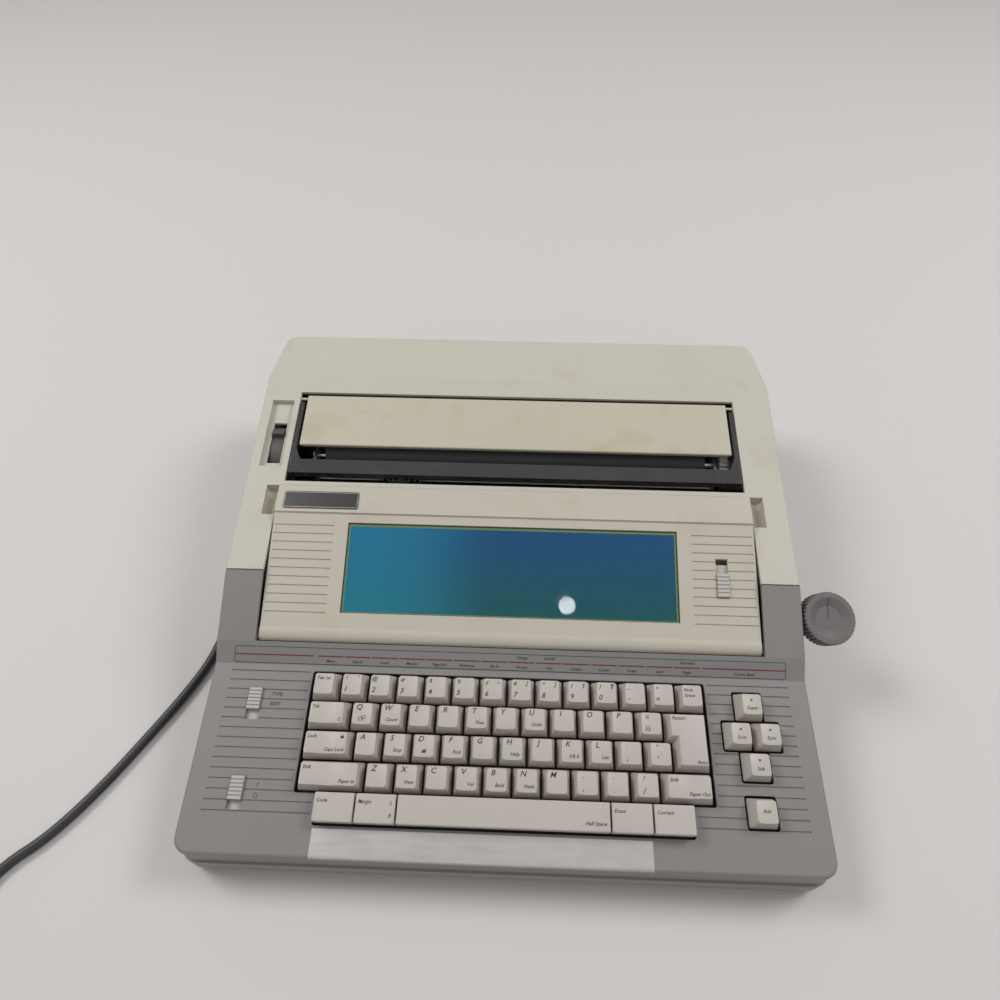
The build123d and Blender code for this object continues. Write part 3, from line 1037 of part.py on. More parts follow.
def make_strain_relief():
    """Moulded boot of the cord: a head inside the rear wall, a neck through it and a ringed tail."""
    x, z = CORD_EXIT
    wall, (head, wider) = REAR_Y - WALL, RELIEF_HEAD
    collar = REAR_Y + RELIEF_COLLAR
    boot = rod((x, wall - head, z), (x, wall, z), RELIEF_R + wider)
    boot += rod((x, wall - 1, z), (x, collar, z), RELIEF_R)
    ends = ((collar, RELIEF_R - 0.5), (REAR_Y + RELIEF_L, CORD_R + 0.8))
    tail = loft([Plane(origin=(x, y, z), z_dir=(0, 1, 0)) * Circle(r) for y, r in ends])
    for i in range(RELIEF_RINGS):
        y = collar + 4 + i * (RELIEF_L - 10) / RELIEF_RINGS
        ring = Plane(origin=(x, y, z), z_dir=(0, 1, 0)) * (Circle(RELIEF_R + 1) - Circle(CORD_R + 0.6))
        tail -= extrude(ring, RING_W)
    keep("strain_relief", boot + tail)


def make_plug(end, heading):
    """Moulded two-pin plug that lies flat on the table at the cord's end."""
    plane = Plane(origin=end, x_dir=Vector(0, 0, 1).cross(heading), z_dir=heading)
    shoulder, full = PLUG_SHOULDER
    neck, grip = RectangleRounded(*PLUG_NECK, PLUG_NECK_R), RectangleRounded(PLUG_W, PLUG_H, PLUG_R)
    plug = extrude(plane * Circle(CORD_R + 1), shoulder)
    plug += loft([plane.offset(shoulder) * neck, plane.offset(full) * grip])
    plug += extrude(plane.offset(full) * grip, PLUG_L - full)
    for side in SIDES:
        prong = Pos(side * PRONG_GAP / 2, 0) * Rectangle(PRONG_T, PRONG_W)
        plug += extrude(plane.offset(PLUG_L) * prong, PRONG_L)
    keep("mains_plug", plug)


# ---------------------------------------------------------------- the whole
def write_parts():
    """Stand the whole on its feet with the origin under the middle of its box, and write it."""
    held = [s for name, group in PARTS.items() if name not in CORD_NODES for s in group]
    size = Compound(held).bounding_box()
    shift = Pos(-(size.min.X + size.max.X) / 2, -(size.min.Y + size.max.Y) / 2, -size.min.Z)
    print("shift", [round(v, 3) for v in shift.position], "size", [round(v, 1) for v in size.size])
    os.makedirs("parts", exist_ok=True)
    for name, group in PARTS.items():
        solids = [s for piece in group for s in (shift * piece).solids()]
        shape = solids[0] if len(solids) == 1 else Compound(solids)
        export_step(shape, f"parts/{name}.step")


def main():
    block = casing_block(0)
    rounded = fillet(top_edges(block), EDGE_R)
    hollow = casing_block(WALL)
    make_lower_case()
    make_keyboard_deck(rounded, hollow)
    make_rear_cover(rounded, hollow)
    make_feet_and_screws()
    make_keys()
    make_key_plate()
    make_switches()
    make_display()
    make_shield_and_flap()
    make_lever()
    make_feed()
    make_frames()
    make_carriage()
    make_boards()
    make_drive()
    make_knob()
    make_cord()
    write_parts()


main()
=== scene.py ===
from math import cos, pi, radians, sin

import bmesh
import bpy
from mathutils import Matrix, Vector
from mathutils.bvhtree import BVHTree


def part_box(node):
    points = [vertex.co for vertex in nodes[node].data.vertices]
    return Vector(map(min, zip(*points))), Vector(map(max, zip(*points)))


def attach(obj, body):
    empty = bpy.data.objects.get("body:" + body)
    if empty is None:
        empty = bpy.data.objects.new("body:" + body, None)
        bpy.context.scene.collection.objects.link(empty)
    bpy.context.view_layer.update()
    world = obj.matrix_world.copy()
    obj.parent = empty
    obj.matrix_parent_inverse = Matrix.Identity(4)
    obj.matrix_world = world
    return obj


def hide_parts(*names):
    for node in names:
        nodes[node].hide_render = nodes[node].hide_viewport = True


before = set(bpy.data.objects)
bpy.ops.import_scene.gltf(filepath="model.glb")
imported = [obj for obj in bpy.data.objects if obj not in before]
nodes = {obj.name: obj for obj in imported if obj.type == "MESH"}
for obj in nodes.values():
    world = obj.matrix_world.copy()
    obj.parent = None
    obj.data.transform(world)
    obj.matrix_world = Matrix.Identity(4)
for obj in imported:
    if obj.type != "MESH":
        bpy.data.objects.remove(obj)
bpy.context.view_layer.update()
scene = bpy.context.scene
scene.view_settings.view_transform = "Standard"

# ---------------------------------------------------------------- camera
# A hand-held view from above the keyboard, turned a little to the left and looking
# down at the machine. Its place and angles were fitted to the edges of the casing.
CAMERA_AT = (-0.0164, -0.2950, 0.5110)
CAMERA_TILT, CAMERA_TURN, CAMERA_ROLL = 38.6, 2.16, -0.14
CAMERA_LENS, SENSOR = 25.09, 36.0

camera_data = bpy.data.cameras.new("camera")
camera_data.lens, camera_data.sensor_width = CAMERA_LENS, SENSOR
camera_data.clip_start, camera_data.clip_end = 0.02, 30.0
camera = bpy.data.objects.new("camera", camera_data)
turned = Matrix.Rotation(radians(CAMERA_TURN), 4, "Z") @ Matrix.Rotation(radians(CAMERA_TILT), 4, "X")
camera.matrix_world = Matrix.Translation(CAMERA_AT) @ turned @ Matrix.Rotation(radians(CAMERA_ROLL), 4, "Z")
scene.collection.objects.link(camera)
scene.camera = camera

# ---------------------------------------------------------------- daylight and floor
# The machine stands on a white table in a bright room. Two soft lamps above its sides give
# most light, a weak one in front opens the shadows, and a small one glints in the glass.
FLOOR_SIZE, FLOOR_COLOUR = 12.0, (0.700, 0.670, 0.662, 1.0)
LAMPS = (  # name, place, aimed at, size, watts, colour
    ("lamp_left", (-1.50, 0.45, 1.9), (0.0, 0.0, 0.05), 1.0, 21.0, (1.0, 0.99, 0.97)),
    ("lamp_right", (1.50, 0.50, 1.9), (0.0, 0.0, 0.05), 1.0, 20.0, (0.995, 0.995, 1.0)),
    ("lamp_front", (-0.3, -2.2, 1.7), (0.0, 0.0, 0.05), 1.3, 3.0, (1.0, 0.99, 0.97)),
    ("lamp_spot", (0.142, -0.419, 1.628), (0.0215, -0.043, 0.0777), 0.05, 0.2, (1.0, 1.0, 1.0)),
)
WORLD_COLOUR, WORLD_STRENGTH = (1.0, 0.995, 0.99, 1.0), 0.34
BACKDROP_COLOUR = (0.76, 0.745, 0.74, 1.0)

for name, place, aim, size, watts, colour in LAMPS:
    lamp_data = bpy.data.lights.new(name, "AREA")
    lamp_data.shape, lamp_data.size, lamp_data.energy, lamp_data.color = "DISK", size, watts, colour
    lamp = bpy.data.objects.new(name, lamp_data)
    lamp.location = place
    lamp.rotation_mode = "QUATERNION"
    lamp.rotation_quaternion = (Vector(aim) - Vector(place)).to_track_quat("-Z", "Y")
    scene.collection.objects.link(lamp)

world = bpy.data.worlds.new("room")
scene.world = world
world.use_nodes = True
tree = world.node_tree
tree.nodes.clear()
seen = tree.nodes.new("ShaderNodeLightPath")
room = tree.nodes.new("ShaderNodeBackground")
room.inputs["Color"].default_value, room.inputs["Strength"].default_value = WORLD_COLOUR, WORLD_STRENGTH
backdrop = tree.nodes.new("ShaderNodeBackground")
backdrop.inputs["Color"].default_value = BACKDROP_COLOUR
mix = tree.nodes.new("ShaderNodeMixShader")
looks = seen.outputs["Is Camera Ray"]
for ray in ("Is Glossy Ray", "Is Transmission Ray"):
    either = tree.nodes.new("ShaderNodeMath")
    either.operation = "MAXIMUM"
    tree.links.new(looks, either.inputs[0])
    tree.links.new(seen.outputs[ray], either.inputs[1])
    looks = either.outputs[0]
tree.links.new(looks, mix.inputs["Fac"])
tree.links.new(room.outputs[0], mix.inputs[1])
tree.links.new(backdrop.outputs[0], mix.inputs[2])
tree.links.new(mix.outputs[0], tree.nodes.new("ShaderNodeOutputWorld").inputs["Surface"])

floor_mesh = bpy.data.meshes.new("floor")
ground = bmesh.new()
bmesh.ops.create_grid(ground, x_segments=1, y_segments=1, size=FLOOR_SIZE / 2)
ground.to_mesh(floor_mesh)
ground.free()
floor = bpy.data.objects.new("floor", floor_mesh)
scene.collection.objects.link(floor)
floor_paint = bpy.data.materials.new("table_white")
floor_paint.use_nodes = True
floor_shader = floor_paint.node_tree.nodes["Principled BSDF"]
floor_shader.inputs["Base Color"].default_value = FLOOR_COLOUR
floor_shader.inputs["Roughness"].default_value = 0.6
floor_shader.inputs["Specular IOR Level"].default_value = 0.25
floor_mesh.materials.append(floor_paint)

# ---------------------------------------------------------------- mains cord
# Round black moulded vinyl lead. It leaves the rear wall through a ribbed strain relief,
# comes round the left side on the table, and its spare length is coiled by the plug.
CORD_R, CORD_LIE = 0.0035, 0.0036
CORD_SHIFT = Vector((-0.01933, -0.2013, 0.0))
CORD_EXIT = (-0.150, 0.441, 0.030)
CORD_ROUTE = (
    CORD_EXIT,
    (-0.1500, 0.457, 0.0300),
    (-0.1520, 0.474, 0.0250),
    (-0.1600, 0.490, 0.0145),
    (-0.1740, 0.503, 0.0055),
    (-0.1940, 0.504, CORD_LIE),
    (-0.2150, 0.494, CORD_LIE),
    (-0.2290, 0.474, CORD_LIE),
    (-0.2380, 0.444, CORD_LIE),
    (-0.2430, 0.405, CORD_LIE),
    (-0.2415, 0.358, CORD_LIE),
    (-0.2360, 0.308, CORD_LIE),
    (-0.2290, 0.256, CORD_LIE),
    (-0.2265, 0.205, CORD_LIE),
    (-0.2310, 0.148, CORD_LIE),
    (-0.2435, 0.116, CORD_LIE),
    (-0.2620, 0.080, CORD_LIE),
    (-0.2830, 0.042, CORD_LIE),
    (-0.3060, 0.010, CORD_LIE),
    (-0.3280, -0.008, CORD_LIE),
    (-0.3380, -0.030, CORD_LIE),
)
COIL_CENTRE, COIL_R, COIL_PITCH = (-0.384, -0.048), 0.046, 0.0088
COIL_TURNS_IN, CLIMB_TURNS, COIL_STEPS = 2.0, 0.5, 16
TAIL, TAIL_DROP = 0.036, 0.0028


def coil_points():
    """Two layers of loops: in along the lower one, up in half a turn, and out along the upper one."""
    points = []
    total = 2 * COIL_TURNS_IN + CLIMB_TURNS
    last = round(total * COIL_STEPS)
    for i in range(last + 1):
        turn = i / COIL_STEPS
        inward = min(turn, COIL_TURNS_IN, total - turn)
        climb = min(max((turn - COIL_TURNS_IN) / CLIMB_TURNS, 0.0), 1.0)
        r = (COIL_R - COIL_PITCH * inward) / cos(pi / COIL_STEPS)
        a = -2 * pi * turn
        points.append((COIL_CENTRE[0] + r * cos(a), COIL_CENTRE[1] + r * sin(a),
                       CORD_LIE + COIL_PITCH * climb))
    return points


def add(tree, kind, inputs=(), **settings):
    """A shader node with its settings; each input is a value or another node's output."""
    made = tree.nodes.new(kind)
    for setting, value in settings.items():
        setattr(made, setting, value)
    for socket, value in dict(inputs).items():
        if isinstance(value, bpy.types.NodeSocket):
            tree.links.new(value, made.inputs[socket])
        else:
            made.inputs[socket].default_value = value
    return made


def maths(tree, operation, first, second=0.0, clamp=False):
    return add(tree, "ShaderNodeMath", {0: first, 1: second}, operation=operation, use_clamp=clamp).outputs[0]


def times(tree, first, second, clamp=False):
    return maths(tree, "MULTIPLY", first, second, clamp)


def plus(tree, first, second, clamp=False):
    return maths(tree, "ADD", first, second, clamp)


def minus(tree, first, second, clamp=False):
    return maths(tree, "SUBTRACT", first, second, clamp)


def scaled(tree, colour, by):
    return add(tree, "ShaderNodeVectorMath", {0: colour, "Scale": by}, operation="SCALE").outputs[0]


def stretched(tree, place, by):
    return add(tree, "ShaderNodeVectorMath", {0: place, 1: by}, operation="MULTIPLY").outputs[0]


def object_place(tree):
    return add(tree, "ShaderNodeTexCoord").outputs["Object"]


def blended(tree, share, first, second):
    """A colour between two others."""
    return add(tree, "ShaderNodeMix", {0: share, 6: first, 7: second}, data_type="RGBA").outputs[2]


def ramped(tree, value, low, high, to_low=0.0, to_high=1.0):
    """A soft step of a value from one level to another."""
    reached = {"Value": value, "From Min": low, "From Max": high, "To Min": to_low, "To Max": to_high}
    return add(tree, "ShaderNodeMapRange", reached, interpolation_type="SMOOTHSTEP").outputs["Result"]


def noise(tree, place, scale, detail=3.0, distortion=0.0):
    given = {"Vector": place, "Scale": scale, "Detail": detail, "Distortion": distortion}
    return add(tree, "ShaderNodeTexNoise", given).outputs["Fac"]


def new_group(name, inputs, outputs):
    """An empty shader node group with named sockets."""
    group = bpy.data.node_groups.new(name, "ShaderNodeTree")
    for label, kind, value in inputs:
        group.interface.new_socket(label, in_out="INPUT", socket_type=kind).default_value = value
    for label, kind in outputs:
        group.interface.new_socket(label, in_out="OUTPUT", socket_type=kind)
    return group, group.nodes.new("NodeGroupInput").outputs, group.nodes.new("NodeGroupOutput").inputs


COLOUR, NUMBER, VECTOR = "NodeSocketColor", "NodeSocketFloat", "NodeSocketVector"
SURFACE_OUT = (("Colour", COLOUR), ("Roughness", NUMBER), ("Normal", VECTOR))
moulding, given, result = new_group("moulded_surface", (
    ("Colour", COLOUR, (0.5, 0.5, 0.5, 1.0)), ("Worn Colour", COLOUR, (0.6, 0.6, 0.6, 1.0)),
    ("Mottle", NUMBER, 0.05), ("Gloss", NUMBER, 0.5), ("Grain", NUMBER, 1500.0), ("Grain Depth", NUMBER, 0.2),
    ("Edge Width", NUMBER, 0.0005), ("Edge Wear", NUMBER, 0.3), ("Grime", NUMBER, 0.2)), SURFACE_OUT)
CLOUDS, SPECKS, RUBS, STAINS = 11.0, 620.0, 130.0, 30.0      # noise scales, per metre
GRIME_TINT, RELIEF_H = (0.80, 0.75, 0.64), 0.0002
here = object_place(moulding)
cloud = noise(moulding, here, CLOUDS, 5.0)
speck = noise(moulding, here, SPECKS, 3.0)
rounded = add(moulding, "ShaderNodeBevel", {"Radius": given["Edge Width"]}, samples=4).outputs["Normal"]
flat = add(moulding, "ShaderNodeNewGeometry").outputs["Normal"]
turned_by = add(moulding, "ShaderNodeVectorMath", {0: rounded, 1: flat},
                operation="DOT_PRODUCT").outputs["Value"]
edge = ramped(moulding, turned_by, 0.995, 0.86)
rubbed = ramped(moulding, noise(moulding, here, RUBS, 4.0, 0.4), 0.34, 0.62)
worn = times(moulding, times(moulding, edge, rubbed), given["Edge Wear"], True)
stain = ramped(moulding, noise(moulding, here, STAINS, 7.0, 0.7), 0.52, 0.74)
stain = times(moulding, stain, given["Grime"], True)
shade = minus(moulding, plus(moulding, cloud, times(moulding, speck, 0.6)), 0.8)
shade = plus(moulding, times(moulding, shade, given["Mottle"]), 1.0)
tone = scaled(moulding, given["Colour"], shade)
dirty = stretched(moulding, tone, GRIME_TINT)
tone = blended(moulding, stain, tone, dirty)
moulding.links.new(blended(moulding, worn, tone, given["Worn Colour"]), result["Colour"])
gloss = plus(moulding, given["Gloss"], times(moulding, minus(moulding, cloud, 0.5), 0.22))
gloss = minus(moulding, gloss, times(moulding, worn, 0.18))
gloss = plus(moulding, gloss, times(moulding, stain, 0.12), True)
moulding.links.new(gloss, result["Roughness"])
pits = add(moulding, "ShaderNodeTexNoise", {"Vector": here, "Scale": given["Grain"], "Detail": 2.0})
relief = {"Height": pits.outputs["Fac"], "Strength": given["Grain Depth"], "Distance": RELIEF_H,
          "Normal": rounded}
moulding.links.new(add(moulding, "ShaderNodeBump", relief).outputs[0], result["Normal"])


def finished(name, group, values, specular=0.5, metallic=0.0, sheen=0.0):
    """A material whose colour, roughness and normal come from a surface group."""
    paint = bpy.data.materials.new(name)
    paint.use_nodes = True
    shader = paint.node_tree.nodes["Principled BSDF"]
    shader.inputs["Specular IOR Level"].default_value = specular
    shader.inputs["Metallic"].default_value = metallic
    shader.inputs["Sheen Weight"].default_value = sheen
    surface = add(paint.node_tree, "ShaderNodeGroup", values, node_tree=group)
    for output, socket in (("Colour", "Base Color"), ("Roughness", "Roughness"), ("Normal", "Normal")):
        paint.node_tree.links.new(surface.outputs[output], shader.inputs[socket])
    return paint


def moulded(name, colour, worn, mottle=0.06, gloss=0.5, grain=1500.0, depth=0.25, edge=0.0005, wear=0.35,
            grime=0.2, specular=0.45, sheen=0.0):
    """Moulded plastic or rubber in two tones: its body colour, and the paler one of rubbed edges."""
    values = {"Colour": (*colour, 1.0), "Worn Colour": (*worn, 1.0), "Mottle": mottle, "Gloss": gloss,
              "Grain": grain, "Grain Depth": depth, "Edge Width": edge, "Edge Wear": wear, "Grime": grime}
    return finished(name, moulding, values, specular=specular, sheen=sheen)


cord_vinyl = moulded("cord_vinyl", (0.016, 0.016, 0.017), (0.05, 0.05, 0.05), mottle=0.2, gloss=0.42,
                     grain=600.0, depth=0.12, wear=0.2, grime=0.3, specular=0.5, sheen=0.05)
turns = coil_points()
coil_end = Vector(turns[-1])
heading = Vector((0.0, 1.0, 0.0))
tail = [tuple(coil_end + heading * TAIL * share - Vector((0, 0, TAIL_DROP * share))) for share in (0.5, 1.0)]
route = [Vector(p) + CORD_SHIFT for p in (*CORD_ROUTE, *turns, *tail)]
cord_data = bpy.data.curves.new("cord", "CURVE")
cord_data.dimensions = "3D"
line = cord_data.splines.new("NURBS")
line.points.add(len(route) - 1)
for point, place in zip(line.points, route):
    point.co = (*place, 1.0)
line.order_u = 3
line.use_endpoint_u = True
line.resolution_u = 6
cord_data.bevel_depth = CORD_R
cord_data.bevel_resolution = 5
cord_data.use_fill_caps = True
cord_data.materials.append(cord_vinyl)
cord = bpy.data.objects.new("cord", cord_data)
scene.collection.objects.link(cord)
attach(cord, "casing")
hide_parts("power_cord", "cord_coil")

# ---------------------------------------------------------------- moulded shells
# The lower case, the deck and the rear cover are injection-moulded ABS with a fine spark
# grain. The beige shell has yellowed a little, and hands have polished their edges.
CASE_LIP = 0.0044        # the lower case stands this far ahead of the deck's front edge
DECK_TILT, DECK_EDGE_Z = 9.0, 0.040
BEIGE, BEIGE_WORN = (0.570, 0.540, 0.468), (0.64, 0.615, 0.56)
GREY, GREY_WORN = (0.238, 0.228, 0.222), (0.33, 0.32, 0.31)
BASE_GREY, BASE_WORN = (0.285, 0.268, 0.250), (0.38, 0.365, 0.345)


def dress(paint, *names):
    for name in names:
        nodes[name].material_slots[0].material = paint


cover_abs = moulded("cover_abs", BEIGE, BEIGE_WORN, mottle=0.09, gloss=0.52, grime=0.30)
deck_abs = moulded("deck_abs", GREY, GREY_WORN, mottle=0.16, gloss=0.50, depth=0.4, grime=0.16)
base_abs = moulded("base_abs", BASE_GREY, BASE_WORN, mottle=0.06, gloss=0.55, grime=0.25)
dress(cover_abs, "rear_cover")
dress(deck_abs, "keyboard_deck", "knob_bracket")
dress(base_abs, "lower_case")

# ---------------------------------------------------------------- feet and case screws
# Four round rubber feet are pressed into the lower case. Four zinc-plated cross-head
# screws hold the upper shells to it from below.
METAL_IN = (("Colour", COLOUR, (0.6, 0.6, 0.6, 1.0)), ("Gloss", NUMBER, 0.35), ("Brush", NUMBER, 0.2),
            ("Along", VECTOR, (40.0, 900.0, 900.0)))
brushing, given, result = new_group("brushed_metal", METAL_IN, SURFACE_OUT)
here = object_place(brushing)
streaks = noise(brushing, stretched(brushing, here, given["Along"]), 1.0, 4.0)
bloom = noise(brushing, here, 25.0, 5.0)
shade = plus(brushing, times(brushing, minus(brushing, bloom, 0.5), 0.3), 1.0)
shade = plus(brushing, shade, times(brushing, minus(brushing, streaks, 0.5), 0.25))
brushing.links.new(scaled(brushing, given["Colour"], shade), result["Colour"])
gloss = plus(brushing, given["Gloss"], times(brushing, bloom, 0.2), True)
brushing.links.new(gloss, result["Roughness"])
relief = {"Height": streaks, "Strength": given["Brush"], "Distance": 0.0001}
brushing.links.new(add(brushing, "ShaderNodeBump", relief).outputs[0], result["Normal"])


def metal(name, colour, gloss=0.35, brush=0.2, along=(40.0, 900.0, 900.0)):
    values = {"Colour": (*colour, 1.0), "Gloss": gloss, "Brush": brush, "Along": along}
    return finished(name, brushing, values, metallic=1.0)


foot_rubber = moulded("foot_rubber", (0.030, 0.030, 0.031), (0.09, 0.09, 0.088), gloss=0.75, grain=900.0,
                      depth=0.4, wear=0.5, grime=0.4, specular=0.3)
zinc = metal("zinc_screw", (0.62, 0.60, 0.55), gloss=0.3, along=(600.0, 600.0, 600.0))
dress(foot_rubber, "rubber_feet")
dress(zinc, "case_screws")

# ---------------------------------------------------------------- strain relief, plug and cord tie
# The cord's boot and its two-pin plug are moulded onto it in the same soft vinyl; a
# wire tie holds the coil together. The plug's blades are nickel-plated brass.
BLADE_LENGTH, BLADE_SOFT, BLADE_GLOSS = 0.0172, 0.0001, 0.18
NICKEL = (0.62, 0.59, 0.54, 1.0)
dress(cord_vinyl, "strain_relief")
plug_vinyl = cord_vinyl.copy()
plug_vinyl.name = "plug_vinyl"
paint = plug_vinyl.node_tree
shader = paint.nodes["Principled BSDF"]
forward = add(paint, "ShaderNodeSeparateXYZ", {0: object_place(paint)}).outputs["Y"]
blades_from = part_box("mains_plug")[1].y - BLADE_LENGTH
blade = ramped(paint, forward, blades_from, blades_from + BLADE_SOFT)
vinyl_colour, vinyl_gloss = (shader.inputs[socket].links[0].from_socket for socket in ("Base Color", "Roughness"))
paint.links.new(blended(paint, blade, vinyl_colour, NICKEL), shader.inputs["Base Color"])
shinier = minus(paint, vinyl_gloss, times(paint, blade, BLADE_GLOSS), True)
paint.links.new(shinier, shader.inputs["Roughness"])
paint.links.new(blade, shader.inputs["Metallic"])
dress(plug_vinyl, "mains_plug")

TIE_W, TIE_T, TIE_R = 0.004, 0.0006, 0.002


def merged(name):
    """A copy of a node's mesh with its loose triangles joined into clean faces."""
    copy = bmesh.new()
    copy.from_mesh(nodes[name].data)
    bmesh.ops.remove_doubles(copy, verts=copy.verts, dist=2e-6)
    bmesh.ops.dissolve_limit(copy, angle_limit=radians(1.0), verts=copy.verts, edges=copy.edges)
    return copy


def piece_of(name, shape, body, slot_name, *paints, smooth=40.0):
    """Make a finished piece of a bmesh: smooth under an angle, riding on its body."""
    for corner in shape.edges:
        corner.smooth = corner.is_manifold and corner.calc_face_angle(pi) < radians(smooth)
    for face in shape.faces:
        face.smooth = True
    mesh = bpy.data.meshes.new(name)
    shape.to_mesh(mesh)
    shape.free()
    for paint in paints:
        mesh.materials.append(paint)
    made = bpy.data.objects.new(name, mesh)
    scene.collection.objects.link(made)
    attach(made, body)
    return made


# the tie goes round the coil's far side, in the plane through the coil's centre
across = (COIL_R - COIL_PITCH * COIL_TURNS_IN - CORD_R - TIE_T, COIL_R + CORD_R + TIE_T)
tie_low, tie_high = 0.0001, CORD_LIE + COIL_PITCH + CORD_R + TIE_T
tie = bmesh.new()
bmesh.ops.create_grid(tie, x_segments=1, y_segments=1, size=0.5)
bmesh.ops.scale(tie, vec=(across[1] - across[0], tie_high - tie_low, 1.0), verts=tie.verts)
bmesh.ops.bevel(tie, geom=list(tie.verts), offset=TIE_R, segments=3, profile=0.5, affect="VERTICES",
                material=-1)
bmesh.ops.delete(tie, geom=list(tie.faces), context="FACES_ONLY")
loop = bmesh.ops.extrude_edge_only(tie, edges=list(tie.edges))
loop_far = [v for v in loop["geom"] if isinstance(v, bmesh.types.BMVert)]
bmesh.ops.translate(tie, vec=(0, 0, TIE_W), verts=loop_far)
bmesh.ops.recalc_face_normals(tie, faces=list(tie.faces))
bmesh.ops.solidify(tie, geom=list(tie.faces), thickness=TIE_T)
middle = (COIL_CENTRE[0] - (across[0] + across[1]) / 2, COIL_CENTRE[1], (tie_low + tie_high) / 2)
stood = Matrix.Translation(Vector(middle) + CORD_SHIFT) @ Matrix.Rotation(pi / 2, 4, "X")
bmesh.ops.transform(tie, matrix=stood @ Matrix.Translation((0, 0, -TIE_W / 2)), verts=tie.verts)
bmesh.ops.recalc_face_normals(tie, faces=list(tie.faces))
tie_vinyl = moulded("tie_vinyl", (0.02, 0.02, 0.02), (0.06, 0.06, 0.06), gloss=0.4, grain=900.0)
piece_of("cord_tie", tie, "casing", "cord_black", tie_vinyl)

# ---------------------------------------------------------------- key caps
# Every cap is double-curved satin ABS on its own square stem: a dished top, sloping
# skirts and softly rounded edges. Fingers have polished the tops of the letters.
KEY_TONE, KEY_WORN = (0.530, 0.488, 0.443), (0.60, 0.565, 0.525)
CAP_ROUND, CAP_STEPS, SHARP = 0.00075, 3, 28.0
ROW_NODES = ("keys_number_row", "keys_upper_row", "keys_home_row", "keys_lower_row")
SINGLE_NODES = ("key_tab_set", "key_backspace", "key_tab", "key_return", "key_lock", "key_shift_left",
                "key_shift_right", "key_code", "key_margin", "space_bar", "key_erase", "key_correct",
                "key_cursor_up", "key_cursor_left", "key_cursor_right", "key_cursor_down", "key_advance")
key_abs = moulded("key_abs", KEY_TONE, KEY_WORN, mottle=0.07, gloss=0.42, grain=2200.0, depth=0.12,
                  edge=0.0004, wear=0.30, grime=0.18, specular=0.5)
case_low, case_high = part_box("lower_case")
deck_corner = ((case_low[0] + case_high[0]) / 2, case_low[1] + CASE_LIP, DECK_EDGE_Z)
DECK = Matrix.Translation(deck_corner) @ Matrix.Rotation(radians(DECK_TILT), 4, "X")
FROM_DECK = DECK.inverted()
key_surface = {}
for name in (*ROW_NODES, *SINGLE_NODES):
    caps = merged(name)
    upper = [e for e in caps.edges if e.is_manifold and e.calc_face_angle(0.0) > radians(SHARP)
             and all((FROM_DECK @ v.co).z > 0.0 for v in e.verts)]
    bmesh.ops.bevel(caps, geom=upper, offset=CAP_ROUND, segments=CAP_STEPS, profile=0.5, affect="EDGES",
                    clamp_overlap=True, material=-1)
    key_surface[name] = BVHTree.FromBMesh(caps)
    made = piece_of("cap_" + name, caps, name, "key_light", key_abs, smooth=38.0)
    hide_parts(name)

# ---------------------------------------------------------------- printing on the keys
# Legends are pad-printed in dark brown, in a slanted sans letter. Each is a film of ink
# that follows the cap's hollow top; words for the command keys are smaller.
PITCH = 0.01905
BLOCK_LEFT = -7 * PITCH
ROW_S = (0.1019, 0.08285, 0.0638, 0.04475)
SPACE_S = 0.0255
INK_T, INK_RISE, INK_SLANT = 0.00006, 0.00002, 0.25
BIG, SMALL, WORD = 0.0049, 0.0037, 0.0031
DIGIT_LEFT, LETTER_LEFT, MAIN_UP, BELOW_DOWN = 0.0042, 0.0025, 0.0041, 0.0034
SECOND_AT, WORD_AT = (0.0037, 0.0043), (0.0046, -0.0033)
WEIGHT = 0.010           # how far the strokes are thickened, as a share of the size
BROWN = (0.030, 0.022, 0.020)
ink_brown = moulded("ink_brown", BROWN, (0.10, 0.085, 0.075), mottle=0.3, gloss=0.55, depth=0.1, wear=0.0,
                    grime=0.0)


def letters(text, size, align="CENTER", slant=INK_SLANT, weight=WEIGHT):
    """A word as a thin closed film about its own origin."""
    words = bpy.data.curves.new("words", "FONT")
    words.body, words.size, words.shear = text, size, slant
    words.align_x, words.align_y = align, "CENTER"
    words.extrude, words.offset, words.resolution_u = INK_T / 2, weight * size, 2
    holder = bpy.data.objects.new("words", words)
    film = bpy.data.meshes.new_from_object(holder)
    bpy.data.objects.remove(holder)
    bpy.data.curves.remove(words)
    return film


def laid_on(film, frame_of, surface, reach=0.03):
    """Drop a flat film onto a surface along the frame's Z, keeping its thickness."""
    outward = (frame_of.to_3x3() @ Vector((0, 0, 1))).normalized()
    for vertex in film.verts:
        high = frame_of @ Vector((vertex.co.x, vertex.co.y, reach))
        found = surface.ray_cast(high, -outward)
        ground = found[0] if found[0] else frame_of @ Vector((vertex.co.x, vertex.co.y, 0))
        vertex.co = ground + outward * (vertex.co.z + INK_T / 2 + INK_RISE)


def printed(name, marks, frame_of, surface, body, slot_name, paint, shapes=()):
    """Print words, each (text, x, y, size, align), and flat shapes on a surface."""
    film = bmesh.new()
    for text, x, y, size, align in marks:
        word = letters(text, size, align)
        word.transform(Matrix.Translation((x, y, 0)))
        film.from_mesh(word)
        bpy.data.meshes.remove(word)
    bmesh.ops.remove_doubles(film, verts=film.verts, dist=1e-6)
    for corners in shapes:
        face = film.faces.new([film.verts.new((x, y, -INK_T / 2)) for x, y in corners])
        body_of = bmesh.ops.extrude_face_region(film, geom=[face])
        moved = [v for v in body_of["geom"] if isinstance(v, bmesh.types.BMVert)]
        bmesh.ops.translate(film, vec=(0, 0, INK_T), verts=moved)
    bmesh.ops.recalc_face_normals(film, faces=list(film.faces))
    laid_on(film, frame_of, surface)
    return piece_of(name, film, body, slot_name, paint, smooth=20.0)


